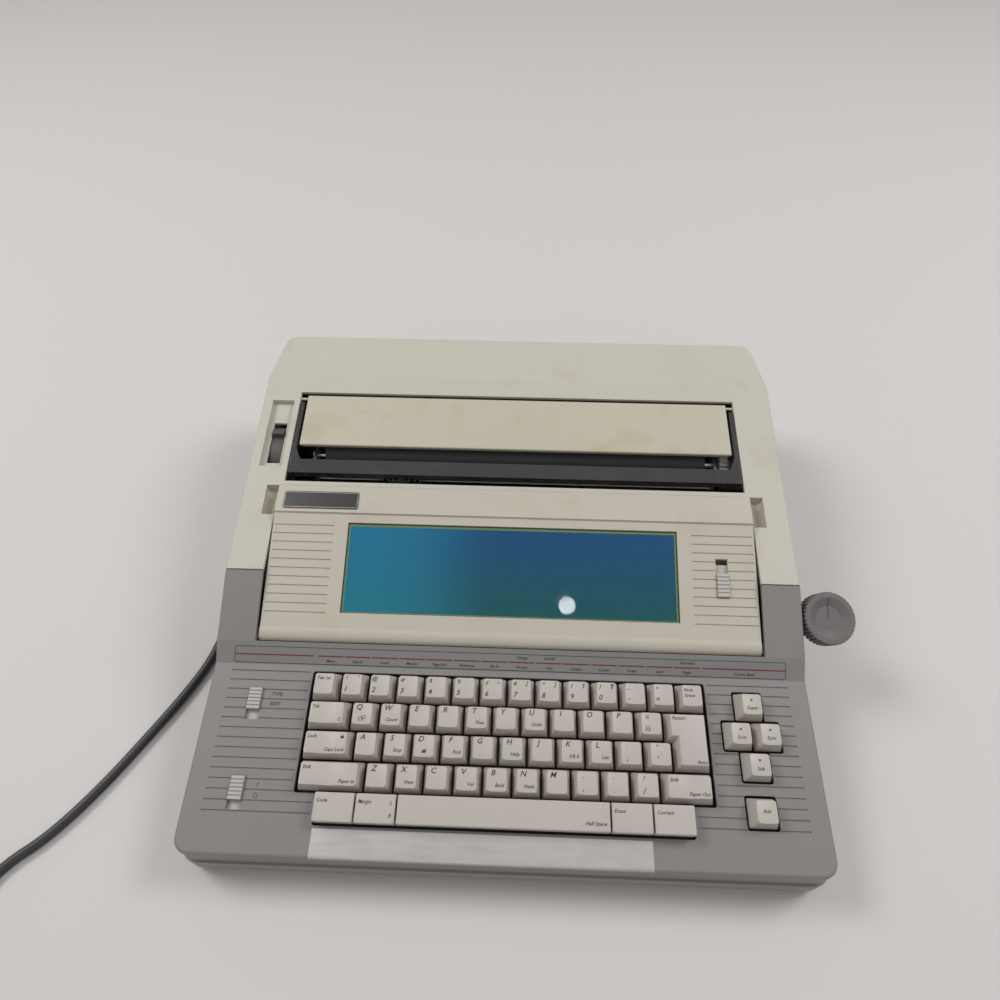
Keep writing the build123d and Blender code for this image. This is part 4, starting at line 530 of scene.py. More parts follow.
def row_marks(first, row, legends):
    """Letters of a row: the main one up and left, a second one right of it, a word or digit below."""
    marks = []
    for i, (main, second, below) in enumerate(legends):
        x, s = BLOCK_LEFT + (first + i) * PITCH, ROW_S[row]
        left = DIGIT_LEFT if row == 0 else LETTER_LEFT
        marks.append((main, x - left, s + MAIN_UP, BIG if main.isalpha() else SMALL, "CENTER"))
        if second:
            marks.append((second, x + SECOND_AT[0], s + SECOND_AT[1], SMALL, "CENTER"))
        if len(below) > 1:
            marks.append((below, x + WORD_AT[0], s + WORD_AT[1], WORD, "RIGHT"))
        elif below:
            marks.append((below, x - left, s - BELOW_DOWN, BIG, "CENTER"))
    return marks


NUMBERS = (("!", "°", "1"), ("@", "", "2"), ("#", "", "3"), ("$", "", "4"), ("%", "", "5"), ("¢", "~", "6"),
           ("&", "[", "7"), ("*", "]", "8"), ("(", "§", "9"), (")", "¶", "0"), ("_", "", "-"), ("+", "", "="))
UPPER = (("Q", "", ""), ("W", "", "Count"), ("E", "", ""), ("R", "", ""), ("T", "", "Thes"), ("Y", "", ""),
         ("U", "", "Undo"), ("I", "", ""), ("O", "", ""), ("P", "", ""), ("¼", "", "½"))
HOME = (("A", "", ""), ("S", "", "Stop"), ("D", "", ""), ("F", "", "Find"), ("G", "", ""), ("H", "", "Help"),
        ("J", "", ""), ("K", "", "KB II"), ("L", "", "List"), (":", "", ";"), ("\"", "", "'"))
LOWER = (("Z", "", ""), ("X", "", "View"), ("C", "", ""), ("V", "", "Vol"), ("B", "", "Bold"), ("N", "", "Next"),
         ("M", "", ""), (",", "", ","), (".", "", "."), ("?", "", "/"))


def bar(x0, x1, y0, y1, slant=0.0):
    return [(x0, y0), (x1, y0), (x1 + slant, y1), (x0 + slant, y1)]


def outline(x, y, width, height, line):
    """The four sides of a rectangle, drawn as bars."""
    x1, y1 = x + width, y + height
    return [bar(x, x1, y, y + line), bar(x, x1, y1 - line, y1), bar(x, x + line, y + line, y1 - line),
            bar(x1 - line, x1, y + line, y1 - line)]


# small pictures: two overlapping sheets on Q, and a slanted disk on D
SHEET_X, SHEET_S = BLOCK_LEFT + 2.0 * PITCH, ROW_S[1] - 0.0033
DISK_X, DISK_S = BLOCK_LEFT + 4.25 * PITCH, ROW_S[2] - 0.0033
PAGE_W, PAGE_H, PAGE_LINE = 0.0030, 0.0021, 0.00028
sheets = outline(SHEET_X - 0.0022, SHEET_S - 0.0011, PAGE_W, PAGE_H, PAGE_LINE)
sheets += outline(SHEET_X - 0.0005, SHEET_S - 0.0001, PAGE_W, PAGE_H, PAGE_LINE)
disk = [bar(DISK_X - 0.0016, DISK_X + 0.0010, DISK_S - 0.0010, DISK_S + 0.0003, 0.0005),
        bar(DISK_X - 0.0009, DISK_X + 0.0013, DISK_S + 0.0005, DISK_S + 0.0011, 0.0002)]
for name, first, row, legends, pictures in (
        ("keys_number_row", 1.5, 0, NUMBERS, ()), ("keys_upper_row", 2.0, 1, UPPER, sheets),
        ("keys_home_row", 2.25, 2, HOME, disk), ("keys_lower_row", 2.75, 3, LOWER, ())):
    printed("legend_" + name, row_marks(first, row, legends), DECK, key_surface[name], name, "key_light",
            ink_brown, shapes=pictures)

# the keys at the ends of the rows: node, left edge in key widths, row, upper word, lower
# word and where that one ends
END_KEYS = (
    ("key_tab_set", 0.0, ROW_S[0], "Tab Set", "", 0.0),
    ("key_backspace", 13.0, ROW_S[0], "Back", "Space", 0.0),
    ("key_tab", 0.0, ROW_S[1], "Tab", "C", 1.5),
    ("key_return", 12.5, ROW_S[1] + 0.0002, "Return", "", 0.0),
    ("key_lock", 0.0, ROW_S[2], "Lock", "Caps Lock", 1.75),
    ("key_shift_left", 0.0, ROW_S[3], "Shift", "Paper In", 2.25),
    ("key_shift_right", 12.25, ROW_S[3], "Shift", "Paper Out", 14.0),
    ("key_code", 0.75, SPACE_S, "Code", "", 0.0),
    ("key_margin", 2.125, SPACE_S, "Margin", "", 0.0),
    ("key_erase", 10.5, SPACE_S, "Erase", "", 0.0),
    ("key_correct", 11.875, SPACE_S, "Correct", "", 0.0),
)
END_INK, UPPER_INK, LOWER_INK, LINE_DOWN, SPACE_ROW_IN = 0.0042, 0.0037, -0.0043, 0.0036, 0.0022
SIDE_IN, SIDE_MARKS = 0.0026, (("L", 0.0035), ("R", -0.0040))
for name, left, s, upper_word, lower_word, right in END_KEYS:
    x = BLOCK_LEFT + left * PITCH
    if s == SPACE_S:
        x -= SPACE_ROW_IN
    marks = [(upper_word, x + END_INK, s + UPPER_INK, WORD, "LEFT")]
    if lower_word and right:
        marks.append((lower_word, BLOCK_LEFT + right * PITCH - END_INK, s + LOWER_INK, WORD, "RIGHT"))
    elif lower_word:
        marks.append((lower_word, x + END_INK, s + UPPER_INK - LINE_DOWN, WORD, "LEFT"))
    if name == "key_return":
        marks.append(("Auto", BLOCK_LEFT + 14 * PITCH - END_INK, ROW_S[2] + LOWER_INK, WORD, "RIGHT"))
    if name == "key_margin":
        marks += [(side, BLOCK_LEFT + 3.5 * PITCH - SIDE_IN, s + up, WORD, "RIGHT") for side, up in SIDE_MARKS]
    printed("legend_" + name, marks, DECK, key_surface[name], name, "key_light", ink_brown)
half_space = [("Half Space", BLOCK_LEFT + 10.5 * PITCH - 0.0030, SPACE_S - 0.0040, WORD, "RIGHT")]
printed("legend_space_bar", half_space, DECK, key_surface["space_bar"], "space_bar", "key_light", ink_brown)

# the cursor keys: a small arrowhead over a word
CURSOR_X, CURSOR_S, ADVANCE_S = 0.1629, 0.0785, 0.0319
ARROW, ARROW_UP, CURSOR_WORD = 0.0011, 0.0028, 0.0024
CURSOR_KEYS = (
    ("key_cursor_up", 0.0, PITCH, "Super", 0.5), ("key_cursor_left", -PITCH / 2, 0.0, "Scrn", 1.0),
    ("key_cursor_right", PITCH / 2, 0.0, "Scrn", 0.0), ("key_cursor_down", 0.0, -PITCH, "Sub", 1.5))
for name, dx, ds, word, half_turns in CURSOR_KEYS:
    x, s = CURSOR_X + dx, CURSOR_S + ds
    points = [pi * half_turns + 2 * pi * i / 3 for i in range(3)]
    arrow = [(x + ARROW * cos(a), s + ARROW_UP + ARROW * sin(a)) for a in points]
    printed("legend_" + name, [(word, x, s - CURSOR_WORD, WORD, "CENTER")], DECK, key_surface[name], name,
            "key_light", ink_brown, shapes=[arrow])
printed("legend_key_advance", [("Adv", CURSOR_X, ADVANCE_S + 0.0002, WORD, "CENTER")], DECK,
        key_surface["key_advance"], "key_advance", "key_light", ink_brown)

# ---------------------------------------------------------------- lock lamp
# The lock key has a small red lamp in its upper right corner. Its lens is a turned disk of
# tinted acrylic with a rounded rim, pressed into the cap.
LAMP_X, LAMP_S, LAMP_R, LAMP_T = BLOCK_LEFT + 1.75 * PITCH - 0.0062, ROW_S[2] + 0.0036, 0.0011, 0.0004
lamp_lens = moulded("lamp_lens", (0.075, 0.022, 0.020), (0.12, 0.05, 0.045), gloss=0.18, grain=900.0,
                    depth=0.02, wear=0.0)
lens = bmesh.new()
bmesh.ops.create_circle(lens, segments=20, radius=LAMP_R, cap_ends=True)
grown = bmesh.ops.extrude_face_region(lens, geom=list(lens.faces))
top = [v for v in grown["geom"] if isinstance(v, bmesh.types.BMVert)]
bmesh.ops.translate(lens, vec=(0, 0, LAMP_T), verts=top)
rim = [e for e in lens.edges if all(v in top for v in e.verts)]
bmesh.ops.bevel(lens, geom=rim, offset=0.0002, segments=2, profile=0.5, affect="EDGES", material=-1)
bmesh.ops.recalc_face_normals(lens, faces=list(lens.faces))
over = DECK @ Matrix.Translation((LAMP_X, LAMP_S, 0.03))
down = (DECK.to_3x3() @ Vector((0, 0, -1))).normalized()
seat = key_surface["key_lock"].ray_cast(over.translation, down)[0]
place = DECK.to_3x3().to_4x4()
place.translation = seat + down * (LAMP_T * 0.4)
bmesh.ops.transform(lens, matrix=place, verts=lens.verts)
piece_of("lock_lamp", lens, "key_lock", "key_light", lamp_lens)

# ---------------------------------------------------------------- function label
# A printed polycarbonate label lies on the ramp above the keys. It is grey like the deck,
# with a dark outline, a maroon line in one stretch per key, and a word under each stretch.
FOLD_S, RAMP_LEAN = 0.1165, 27.7
LABEL_HALF, LABEL_U, LABEL_R, LABEL_T = 0.1915, (0.0008, 0.0124), 0.0016, 0.00012
OUTLINE = 0.0004
LINE_U, LINE_HALF, LINE_GAP = 0.0067, 0.00042, 0.0012
WORD_UNDER, WORD_OVER, TINY = 0.0034, 0.0100, 0.0027
FUNCTIONS = (("Menu", ""), ("Search", ""), ("Insert", ""), ("Marker", ""), ("Page End", ""), ("Reformat", ""),
             ("File In", ""), ("Format", "Change"), ("Tabs", "Special"), ("Indent", ""), ("Center", ""),
             ("Under", ""), ("Spell", ""), ("Right", "Grammar"))
label_grey = moulded("label_grey", (0.225, 0.214, 0.212), (0.30, 0.29, 0.285), mottle=0.05, gloss=0.34,
                     grain=2600.0, depth=0.08, wear=0.15, grime=0.12, specular=0.5)
ink_dark = moulded("ink_dark", (0.022, 0.020, 0.021), (0.09, 0.085, 0.08), mottle=0.3, gloss=0.5, depth=0.05,
                   wear=0.0, grime=0.0)
ink_maroon = moulded("ink_maroon", (0.170, 0.020, 0.052), (0.22, 0.05, 0.08), mottle=0.2, gloss=0.45, depth=0.05,
                     wear=0.0, grime=0.0)
RAMP = DECK @ Matrix.Translation((0, FOLD_S, 0)) @ Matrix.Rotation(radians(RAMP_LEAN), 4, "X")


def rounded_sheet(width, depth, radius, steps=4):
    """A flat sheet with rounded corners, about the origin."""
    sheet = bmesh.new()
    bmesh.ops.create_grid(sheet, x_segments=1, y_segments=1, size=0.5)
    bmesh.ops.scale(sheet, vec=(width, depth, 1.0), verts=sheet.verts)
    bmesh.ops.bevel(sheet, geom=list(sheet.verts), offset=radius, segments=steps, profile=0.5,
                    affect="VERTICES", material=-1)
    return sheet


def thickened(sheet, thickness):
    """Give a flat sheet its thickness, as a closed body."""
    grown = bmesh.ops.extrude_face_region(sheet, geom=list(sheet.faces))
    raised = [v for v in grown["geom"] if isinstance(v, bmesh.types.BMVert)]
    bmesh.ops.translate(sheet, vec=(0, 0, thickness), verts=raised)
    bmesh.ops.recalc_face_normals(sheet, faces=list(sheet.faces))
    return sheet


label = rounded_sheet(2 * LABEL_HALF, LABEL_U[1] - LABEL_U[0], LABEL_R)
border = bmesh.ops.inset_region(label, faces=list(label.faces), thickness=OUTLINE, use_boundary=True)
for face in border["faces"]:
    face.material_index = 1
thickened(label, LABEL_T)
label_at = RAMP @ Matrix.Translation((0, sum(LABEL_U) / 2, INK_RISE))
bmesh.ops.transform(label, matrix=label_at, verts=label.verts)
label_surface = BVHTree.FromBMesh(label)
piece_of("function_label", label, "casing", "deck_grey", label_grey, ink_dark, smooth=20.0)

stretches = [(-LABEL_HALF + OUTLINE, BLOCK_LEFT - LINE_GAP * 2),
             (BLOCK_LEFT + 14 * PITCH + LINE_GAP, LABEL_HALF - OUTLINE)]
for i in range(14):
    stretches.append((BLOCK_LEFT + i * PITCH + LINE_GAP / 2, BLOCK_LEFT + (i + 1) * PITCH - LINE_GAP / 2))
line_bars = [bar(x0, x1, LINE_U - LINE_HALF, LINE_U + LINE_HALF) for x0, x1 in stretches]
printed("function_line", [], RAMP, label_surface, "casing", "deck_grey", ink_maroon, shapes=line_bars)
words = []
for i, (under, over_word) in enumerate(FUNCTIONS):
    x = BLOCK_LEFT + (i + 0.5) * PITCH
    words.append((under, x, WORD_UNDER, TINY, "CENTER"))
    if over_word:
        words.append((over_word, x, WORD_OVER, TINY, "CENTER"))
words.append(("Cursor Bank", CURSOR_X, WORD_UNDER, TINY, "CENTER"))
printed("function_words", words, RAMP, label_surface, "casing", "deck_grey", ink_dark)

# ---------------------------------------------------------------- foil strip
# A strip of silver foil film is stuck along the front and wraps over the rounded edge.
# The real one lists the machine's features; this one is left bare.
FOIL_X, FOIL_S, FOIL_T = (-0.1194, 0.093), 0.0138, 0.00014
EDGE_START, EDGE_R, EDGE_TURN, EDGE_STEPS = -0.0012, 0.0022, 72.0, 9
foil_film = metal("foil_film", (0.43, 0.42, 0.405), gloss=0.33, brush=0.9, along=(45.0, 240.0, 240.0))
foil = bmesh.new()
end = foil.faces.new([foil.verts.new((x, FOIL_S, h)) for x, h in
                      ((FOIL_X[0], 0.0), (FOIL_X[1], 0.0), (FOIL_X[1], FOIL_T), (FOIL_X[0], FOIL_T))])
run = bmesh.ops.extrude_face_region(foil, geom=[end])["geom"]
front = [v for v in run if isinstance(v, bmesh.types.BMVert)]
bmesh.ops.translate(foil, vec=(0, EDGE_START - FOIL_S, 0), verts=front)
front_face = [f for f in foil.faces if all(v in front for v in f.verts)]
bmesh.ops.spin(foil, geom=front + front_face + [e for e in foil.edges if all(v in front for v in e.verts)],
               cent=(0, EDGE_START, -EDGE_R), axis=(1, 0, 0), angle=radians(EDGE_TURN), steps=EDGE_STEPS,
               use_merge=False, use_duplicate=False)
bmesh.ops.recalc_face_normals(foil, faces=list(foil.faces))
bmesh.ops.transform(foil, matrix=DECK @ Matrix.Translation((0, 0, INK_RISE)), verts=foil.verts)
piece_of("foil_strip", foil, "casing", "deck_grey", foil_film, smooth=30.0)

# ---------------------------------------------------------------- switches
# Two ridged slide switches of light ABS stand in slots left of the keys: typing or
# editing above, mains power below. Their marks are pad-printed on the deck.
MODE_TEXT, POWER_TEXT = (0.0957, 0.0893), (0.0380, 0.0315)
MARK, MARK_X, SYMBOL_X, SYMBOL_R, SYMBOL_W = 0.0034, -0.1612, -0.1590, 0.0013, 0.00016
STROKE = (0.0002, 0.0019)
slider_abs = moulded("slider_abs", (0.505, 0.482, 0.445), (0.58, 0.56, 0.53), mottle=0.1, gloss=0.45, depth=0.15,
                     wear=0.3, grime=0.55)
dress(slider_abs, "mode_switch", "power_switch", "contrast_slider")
deck_surface = BVHTree.FromBMesh(merged("keyboard_deck"))
RING_FROM, RING_SPAN, RING_STEPS = 130, 280, 16
ring = [radians(RING_FROM + RING_SPAN * i / RING_STEPS) for i in range(RING_STEPS + 1)]
near, far = SYMBOL_R - SYMBOL_W, SYMBOL_R + SYMBOL_W
power_mark = [[(SYMBOL_X + r * cos(a), POWER_TEXT[1] + r * sin(a)) for a, r in
               ((a0, near), (a0, far), (a1, far), (a1, near))] for a0, a1 in zip(ring, ring[1:])]
power_mark.append(bar(SYMBOL_X - SYMBOL_W, SYMBOL_X + SYMBOL_W, POWER_TEXT[1] + STROKE[0],
                      POWER_TEXT[1] + STROKE[1]))
switch_marks = [("TYPE", MARK_X, MODE_TEXT[0], MARK, "LEFT"), ("EDIT", MARK_X, MODE_TEXT[1], MARK, "LEFT"),
                ("I", SYMBOL_X, POWER_TEXT[0], MARK, "CENTER")]
printed("switch_marks", switch_marks, DECK, deck_surface, "casing", "deck_grey", ink_dark,
        shapes=power_mark)

# a thin shutter under each thumb keeps its slot closed along the whole travel
SHUTTER_T, TRAVEL, THUMB_H, RIDGE_H = 0.00015, 0.0066, 0.002, 0.001
UNDER_DECK, UNDER_LID, FACE_LEAN = 0.00266, 0.00226, 12.9
FACE = DECK @ Matrix.Rotation(radians(FACE_LEAN), 4, "X")
for name, body, frame_of, under, half_w in (("mode_switch", "mode_thumb", DECK, UNDER_DECK, 0.0046),
                                           ("power_switch", "power_thumb", DECK, UNDER_DECK, 0.0046),
                                           ("contrast_slider", "contrast_thumb", FACE, UNDER_LID, 0.0044)):
    thumb = [frame_of.inverted() @ v.co for v in nodes[name].data.vertices]
    crest = max(p.z for p in thumb)
    ridges = [p.y for p in thumb if p.z > crest - RIDGE_H]
    x = (min(p.x for p in thumb) + max(p.x for p in thumb)) / 2
    level = crest - THUMB_H - under
    shutter = bmesh.new()
    bmesh.ops.create_grid(shutter, x_segments=1, y_segments=1, size=0.5)
    length = max(ridges) - min(ridges) + 2 * TRAVEL
    bmesh.ops.scale(shutter, vec=(2 * half_w, length, 1.0), verts=shutter.verts)
    centre = (x, (max(ridges) + min(ridges)) / 2, level - SHUTTER_T)
    bmesh.ops.translate(shutter, vec=centre, verts=shutter.verts)
    thickened(shutter, SHUTTER_T)
    bmesh.ops.transform(shutter, matrix=frame_of, verts=shutter.verts)
    piece_of(name + "_shutter", shutter, body, "switch_grey", slider_abs, smooth=20.0)

# ---------------------------------------------------------------- display lid
# The lid is two thin beige mouldings round a liquid-crystal panel, with a clear acrylic
# window held in a black gasket. The panel is lit from behind, blue above and teal below, with a painted
# reflection that makes it paler towards its left.
WINDOW_EDGE, GASKET_W, GASKET_T, LENS_GAP, RIM_SOFT = 0.0016, 0.0007, 0.0004, 0.00004, 0.0002
LCD_LOW, LCD_HIGH = (0.001, 0.112, 0.135, 1.0), (0.001, 0.092, 0.255, 1.0)
# LCD_PAINTED_REFLECTION is the pale blue of a painted reflection on the panel's left side
LCD_PAINTED_REFLECTION, LCD_RIM, LCD_DARK = (0.012, 0.360, 0.560, 1.0), (0.190, 0.310, 0.120, 1.0), (0.002, 0.004, 0.005, 1.0)
LCD_GLOW, CELLS = 0.60, 900.0
lid_abs = moulded("lid_abs", (0.560, 0.515, 0.440), (0.63, 0.595, 0.53), mottle=0.09, gloss=0.50, grime=0.25)
dress(lid_abs, "display_housing", "display_back")
lens_low, lens_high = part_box("lcd_window")
face_out = (FACE.to_3x3() @ Vector((0, 0, 1))).normalized()

panel = bpy.data.materials.new("lcd_panel")
panel.use_nodes = True
paint = panel.node_tree
shader = paint.nodes["Principled BSDF"]
shader.inputs["Roughness"].default_value = 0.5
shader.inputs["Specular IOR Level"].default_value = 0.0
shader.inputs["Emission Strength"].default_value = LCD_GLOW
here = object_place(paint)
axes = add(paint, "ShaderNodeSeparateXYZ", {0: here}).outputs
up_face = ramped(paint, axes["Y"], lens_low.y, lens_high.y)
from_left = ramped(paint, axes["X"], lens_low.x, lens_high.x)
lit = blended(paint, up_face, LCD_LOW, LCD_HIGH)
# painted reflection: the panel is blended towards pale blue at its left, for a reflection of a ceiling light in
# the window
painted_reflection = times(paint, ramped(paint, from_left, 0.45, 0.0), 0.5)
lit = blended(paint, painted_reflection, lit, LCD_PAINTED_REFLECTION)
cells = noise(paint, here, CELLS, 2.0)
shade = plus(paint, times(paint, minus(paint, cells, 0.5), 0.30), 1.0)
lit = scaled(paint, lit, shade)
rim = None
for axis, low_end, high_end in (("X", lens_low.x, lens_high.x), ("Y", lens_low.y, lens_high.y)):
    off = maths(paint, "ABSOLUTE", minus(paint, axes[axis], (low_end + high_end) / 2))
    rim_at = (high_end - low_end) / 2 - WINDOW_EDGE
    beyond = ramped(paint, off, rim_at - RIM_SOFT, rim_at)
    rim = beyond if rim is None else maths(paint, "MAXIMUM", rim, beyond)
lit = blended(paint, rim, lit, LCD_RIM)
paint.links.new(lit, shader.inputs["Emission Color"])
paint.links.new(blended(paint, 0.97, lit, LCD_DARK), shader.inputs["Base Color"])
relief = {"Height": cells, "Strength": 0.05, "Distance": 0.0001}
paint.links.new(add(paint, "ShaderNodeBump", relief).outputs[0], shader.inputs["Normal"])
dress(panel, "lcd_module")

acrylic = bpy.data.materials.new("clear_acrylic")
acrylic.use_nodes = True
paint = acrylic.node_tree
shader = paint.nodes["Principled BSDF"]
shader.inputs["Base Color"].default_value = (0.93, 0.96, 0.96, 1.0)
shader.inputs["Transmission Weight"].default_value = 1.0
shader.inputs["IOR"].default_value = 1.27
here = object_place(paint)
smear = ramped(paint, noise(paint, here, 35.0, 5.0, 0.8), 0.45, 0.75, 0.015, 0.07)
paint.links.new(smear, shader.inputs["Roughness"])
window = merged("lcd_window")
bmesh.ops.bevel(window, geom=list(window.edges), offset=0.0002, segments=1, profile=0.5, affect="EDGES",
                material=-1)
bmesh.ops.translate(window, vec=face_out * LENS_GAP, verts=window.verts)
window_surface = BVHTree.FromBMesh(window)
made = piece_of("display_window", window, "display_lid", "lens", acrylic, smooth=20.0)
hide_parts("lcd_window")

middle_of = (lens_low + lens_high) / 2
window_depth = (lens_high.y - lens_low.y) / cos(radians(DECK_TILT + FACE_LEAN))
gasket = rounded_sheet(lens_high.x - lens_low.x, window_depth, 0.0006, 2)
cut = bmesh.ops.inset_region(gasket, faces=list(gasket.faces), thickness=GASKET_W, use_boundary=True)
inner = [f for f in gasket.faces if f not in cut["faces"]]
bmesh.ops.delete(gasket, geom=inner, context="FACES")
thickened(gasket, GASKET_T)
top_point = window_surface.ray_cast(middle_of + face_out * 0.02, -face_out)[0]
seat = FACE.to_3x3().to_4x4()
seat.translation = top_point + face_out * 0.00002
bmesh.ops.transform(gasket, matrix=seat, verts=gasket.verts)
gasket_black = moulded("gasket_black", (0.012, 0.012, 0.013), (0.03, 0.03, 0.03), gloss=0.55, depth=0.2)
piece_of("window_gasket", gasket, "display_lid", "lens", gasket_black, smooth=20.0)

# ---------------------------------------------------------------- plate on the lid
# A black enamelled aluminium plate is stuck at the lid's upper left corner, with a fine
# bright edge. Nothing is printed on it.
PLATE_EDGE, PLATE_IN = 0.00025, 0.0005
plate_black = moulded("plate_black", (0.018, 0.017, 0.017), (0.12, 0.12, 0.12), mottle=0.2, gloss=0.30,
                      grain=1800.0, depth=0.06, wear=0.5, grime=0.15, specular=0.6)
dress(plate_black, "badge_plate")
plate_line = metal("plate_line", (0.42, 0.41, 0.40), gloss=0.3)
plate_low, plate_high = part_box("badge_plate")
plate_surface = BVHTree.FromBMesh(merged("badge_plate"))
STRIP_LEAN = 2.7
STRIP = DECK @ Matrix.Rotation(radians(STRIP_LEAN), 4, "X")
strip_out = (STRIP.to_3x3() @ Vector((0, 0, 1))).normalized()
plate_depth = (plate_high.y - plate_low.y) / cos(radians(DECK_TILT + STRIP_LEAN))
fine = rounded_sheet(plate_high.x - plate_low.x - 2 * PLATE_IN, plate_depth - 3 * PLATE_IN, 0.0009)
cut = bmesh.ops.inset_region(fine, faces=list(fine.faces), thickness=PLATE_EDGE, use_boundary=True)
bmesh.ops.delete(fine, geom=[f for f in fine.faces if f not in cut["faces"]], context="FACES")
thickened(fine, INK_T)
seat = STRIP.to_3x3().to_4x4()
plate_top = plate_surface.ray_cast((plate_low + plate_high) / 2 + strip_out * 0.02, -strip_out)[0]
seat.translation = plate_top + strip_out * INK_RISE
bmesh.ops.transform(fine, matrix=seat, verts=fine.verts)
piece_of("plate_edge_line", fine, "display_lid", "badge_blank", plate_line, smooth=20.0)

# ---------------------------------------------------------------- sound shield and paper rest
# The shield over the printer is smoked acrylic, so the print line shows through it. The
# paper rest behind it is beige ABS, yellower than the cover, and it hides the platen.
SMOKE, DUST = (0.115, 0.105, 0.108, 1.0), (0.36, 0.34, 0.32, 1.0)
smoked = bpy.data.materials.new("smoked_acrylic")
smoked.use_nodes = True
paint = smoked.node_tree
shader = paint.nodes["Principled BSDF"]
shader.inputs["Transmission Weight"].default_value = 0.72
shader.inputs["IOR"].default_value = 1.49
shader.inputs["Specular IOR Level"].default_value = 0.6
here = object_place(paint)
dusty = ramped(paint, noise(paint, here, 45.0, 6.0, 0.6), 0.45, 0.8)
paint.links.new(blended(paint, times(paint, dusty, 0.12), SMOKE, DUST), shader.inputs["Base Color"])
paint.links.new(plus(paint, times(paint, dusty, 0.14), 0.10), shader.inputs["Roughness"])
scratch = stretched(paint, here, (30.0, 1100.0, 1100.0))
softened = add(paint, "ShaderNodeBevel", {"Radius": 0.0008}, samples=4).outputs["Normal"]
relief = {"Height": noise(paint, scratch, 1.0, 3.0), "Strength": 0.08, "Distance": 0.0001, "Normal": softened}
paint.links.new(add(paint, "ShaderNodeBump", relief).outputs[0], shader.inputs["Normal"])
rest_abs = moulded("rest_abs", (0.550, 0.512, 0.405), (0.62, 0.59, 0.50), mottle=0.10, gloss=0.50, grime=0.45)
dress(smoked, "sound_shield")
dress(rest_abs, "paper_support")

# ---------------------------------------------------------------- paper release lever
# A dark rocking lever with a finger ridge sits in the hollow left of the paper rest. It is
# moulded ABS, turns on a pin, and is polished where the finger pushes it.
lever_dark = moulded("lever_dark", (0.075, 0.068, 0.064), (0.14, 0.13, 0.12), mottle=0.1, gloss=0.5,
                     wear=0.4, grime=0.3)
dress(lever_dark, "release_lever")

# ---------------------------------------------------------------- platen and its drive
# A hard rubber roller is pressed on a ground steel shaft that turns in two zinc-plated
# frames. A stepping motor drives its acetal gear, and a thin steel pan guides the paper.
platen_rubber = moulded("platen_rubber", (0.020, 0.020, 0.021), (0.05, 0.05, 0.05), gloss=0.62, grain=700.0,
                        depth=0.15, wear=0.3, grime=0.35, specular=0.4)
ground_steel = metal("ground_steel", (0.64, 0.64, 0.63), gloss=0.16, brush=0.1, along=(900.0, 60.0, 60.0))
plated_steel = metal("plated_steel", (0.55, 0.545, 0.50), gloss=0.34, brush=0.2, along=(220.0, 220.0, 60.0))
acetal = moulded("acetal", (0.56, 0.55, 0.50), (0.62, 0.61, 0.57), mottle=0.05, gloss=0.38, depth=0.06, grime=0.3)
dress(platen_rubber, "platen_roller")
dress(ground_steel, "platen_shaft", "carriage_rails")
dress(plated_steel, "side_frames", "paper_pan", "feed_motor", "wheel_motor")
dress(acetal, "platen_gear", "feed_pinion")

# ---------------------------------------------------------------- carriage, type wheel and ribbon
# The carriage is black glass-filled nylon that slides on two rails. It carries the wheel
# motor, the black daisy wheel and a grey ribbon cassette that snaps on top.
nylon_black = moulded("nylon_black", (0.020, 0.020, 0.022), (0.06, 0.06, 0.062), mottle=0.15, gloss=0.48,
                      grain=900.0, depth=0.3, wear=0.4, grime=0.2)
wheel_black = moulded("wheel_black", (0.012, 0.012, 0.014), (0.04, 0.04, 0.045), gloss=0.25, depth=0.05, wear=0.2)
cassette_abs = moulded("cassette_abs", (0.115, 0.112, 0.108), (0.19, 0.185, 0.18), mottle=0.07, gloss=0.46,
                       wear=0.4)
dress(nylon_black, "print_carriage", "key_plate")
dress(wheel_black, "daisy_wheel")
dress(cassette_abs, "ribbon_cassette")

# ---------------------------------------------------------------- boards
# The main board and the power supply are green glass-fibre laminate with tinned tracks.
# Everything that stands on them is black, grey or wound copper.
TRACKS, BOARD_STEP, BOARD_T = 420.0, 0.0004, 0.0016


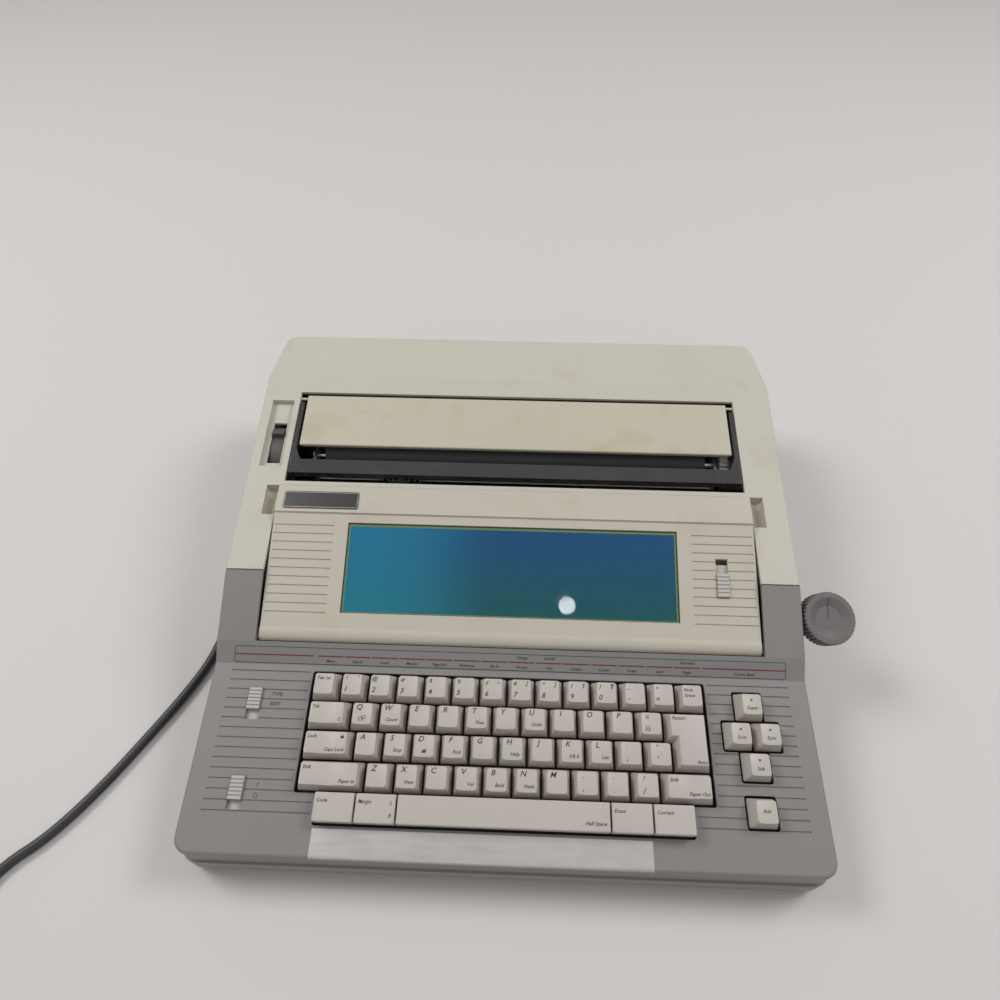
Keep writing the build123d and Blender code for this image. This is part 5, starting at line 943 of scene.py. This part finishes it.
def laminate(name, node_name, board_t, parts):
    """Green lacquered board up to its thickness, and the parts' own colour above it."""
    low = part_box(node_name)[0]
    made = bpy.data.materials.new(name)
    made.use_nodes = True
    tree = made.node_tree
    shader = tree.nodes["Principled BSDF"]
    here = object_place(tree)
    height = add(tree, "ShaderNodeSeparateXYZ", {0: here}).outputs["Z"]
    tracks = {"Vector": here, "Color1": (0.012, 0.085, 0.035, 1.0), "Color2": (0.015, 0.110, 0.045, 1.0),
              "Mortar": (0.028, 0.165, 0.070, 1.0), "Scale": TRACKS, "Mortar Size": 0.09}
    run = add(tree, "ShaderNodeTexBrick", tracks).outputs["Color"]
    cloud = noise(tree, here, 120.0, 4.0)
    shade = plus(tree, times(tree, cloud, 0.3), 0.85)
    body = scaled(tree, parts, shade)
    above = ramped(tree, height, low.z + board_t + BOARD_STEP / 2, low.z + board_t + BOARD_STEP)
    tree.links.new(blended(tree, above, run, body), shader.inputs["Base Color"])
    tree.links.new(plus(tree, times(tree, cloud, 0.2), 0.28), shader.inputs["Roughness"])
    bump = add(tree, "ShaderNodeBump", {"Height": cloud, "Strength": 0.15, "Distance": 0.0002})
    tree.links.new(bump.outputs[0], shader.inputs["Normal"])
    return made


dress(laminate("main_laminate", "main_board", BOARD_T, (0.022, 0.022, 0.024)), "main_board")
dress(laminate("supply_laminate", "power_supply", BOARD_T, (0.105, 0.075, 0.045)), "power_supply")

# ---------------------------------------------------------------- disk drive
# A slim 90 mm drive is screwed down at the right rear. Its front plate is dark ABS, and
# its eject button is light like the keys.
drive_abs = moulded("drive_abs", (0.110, 0.106, 0.102), (0.18, 0.175, 0.17), mottle=0.06, gloss=0.5, wear=0.35)
button_abs = moulded("button_abs", KEY_TONE, KEY_WORN, mottle=0.06, gloss=0.42, depth=0.12)
dress(drive_abs, "disk_drive")
dress(button_abs, "eject_button")

# ---------------------------------------------------------------- paper feed knob
# The knurled knob is dark grey ABS with a dished face, on a spindle in a lug beside the
# case. A moulded slot from its centre to its rim shows how far it has turned; the shade in that slot is painted
# as a thin dark film.
KNOB_AT, KNOB_LEAN_Y, KNOB_LEAN_X = (0.2254, 0.1545, 0.077), 23.5, 5.0
DISH_RIM, INDEX_W = 0.01464, 0.0006
knob_abs = moulded("knob_abs", (0.150, 0.143, 0.138), (0.21, 0.20, 0.195), mottle=0.10, gloss=0.50,
                   wear=0.45, grime=0.35)
# painted shade: the dark colour of the film that stands for the shade in the knob's slot
knob_slot_shade = moulded("knob_slot_shade", (0.055, 0.052, 0.050), (0.10, 0.10, 0.10), gloss=0.5, depth=0.1)
dress(knob_abs, "feed_knob")
KNOB = Matrix.Translation(Vector(KNOB_AT) + CORD_SHIFT)
KNOB = KNOB @ Matrix.Rotation(radians(KNOB_LEAN_Y), 4, "X") @ Matrix.Rotation(radians(KNOB_LEAN_X), 4, "Y")
# painted shade: a thin dark film laid along the slot on the knob's face
index = bmesh.new()
bmesh.ops.create_grid(index, x_segments=1, y_segments=12, size=0.5)
bmesh.ops.scale(index, vec=(INDEX_W, DISH_RIM, 1.0), verts=index.verts)
bmesh.ops.translate(index, vec=(0, DISH_RIM / 2, -INK_T / 2), verts=index.verts)
thickened(index, INK_T)
laid_on(index, KNOB, BVHTree.FromBMesh(merged("feed_knob")), reach=0.01)
piece_of("knob_slot_shade_film", index, "knob", "knob_beige", knob_slot_shade, smooth=60.0)
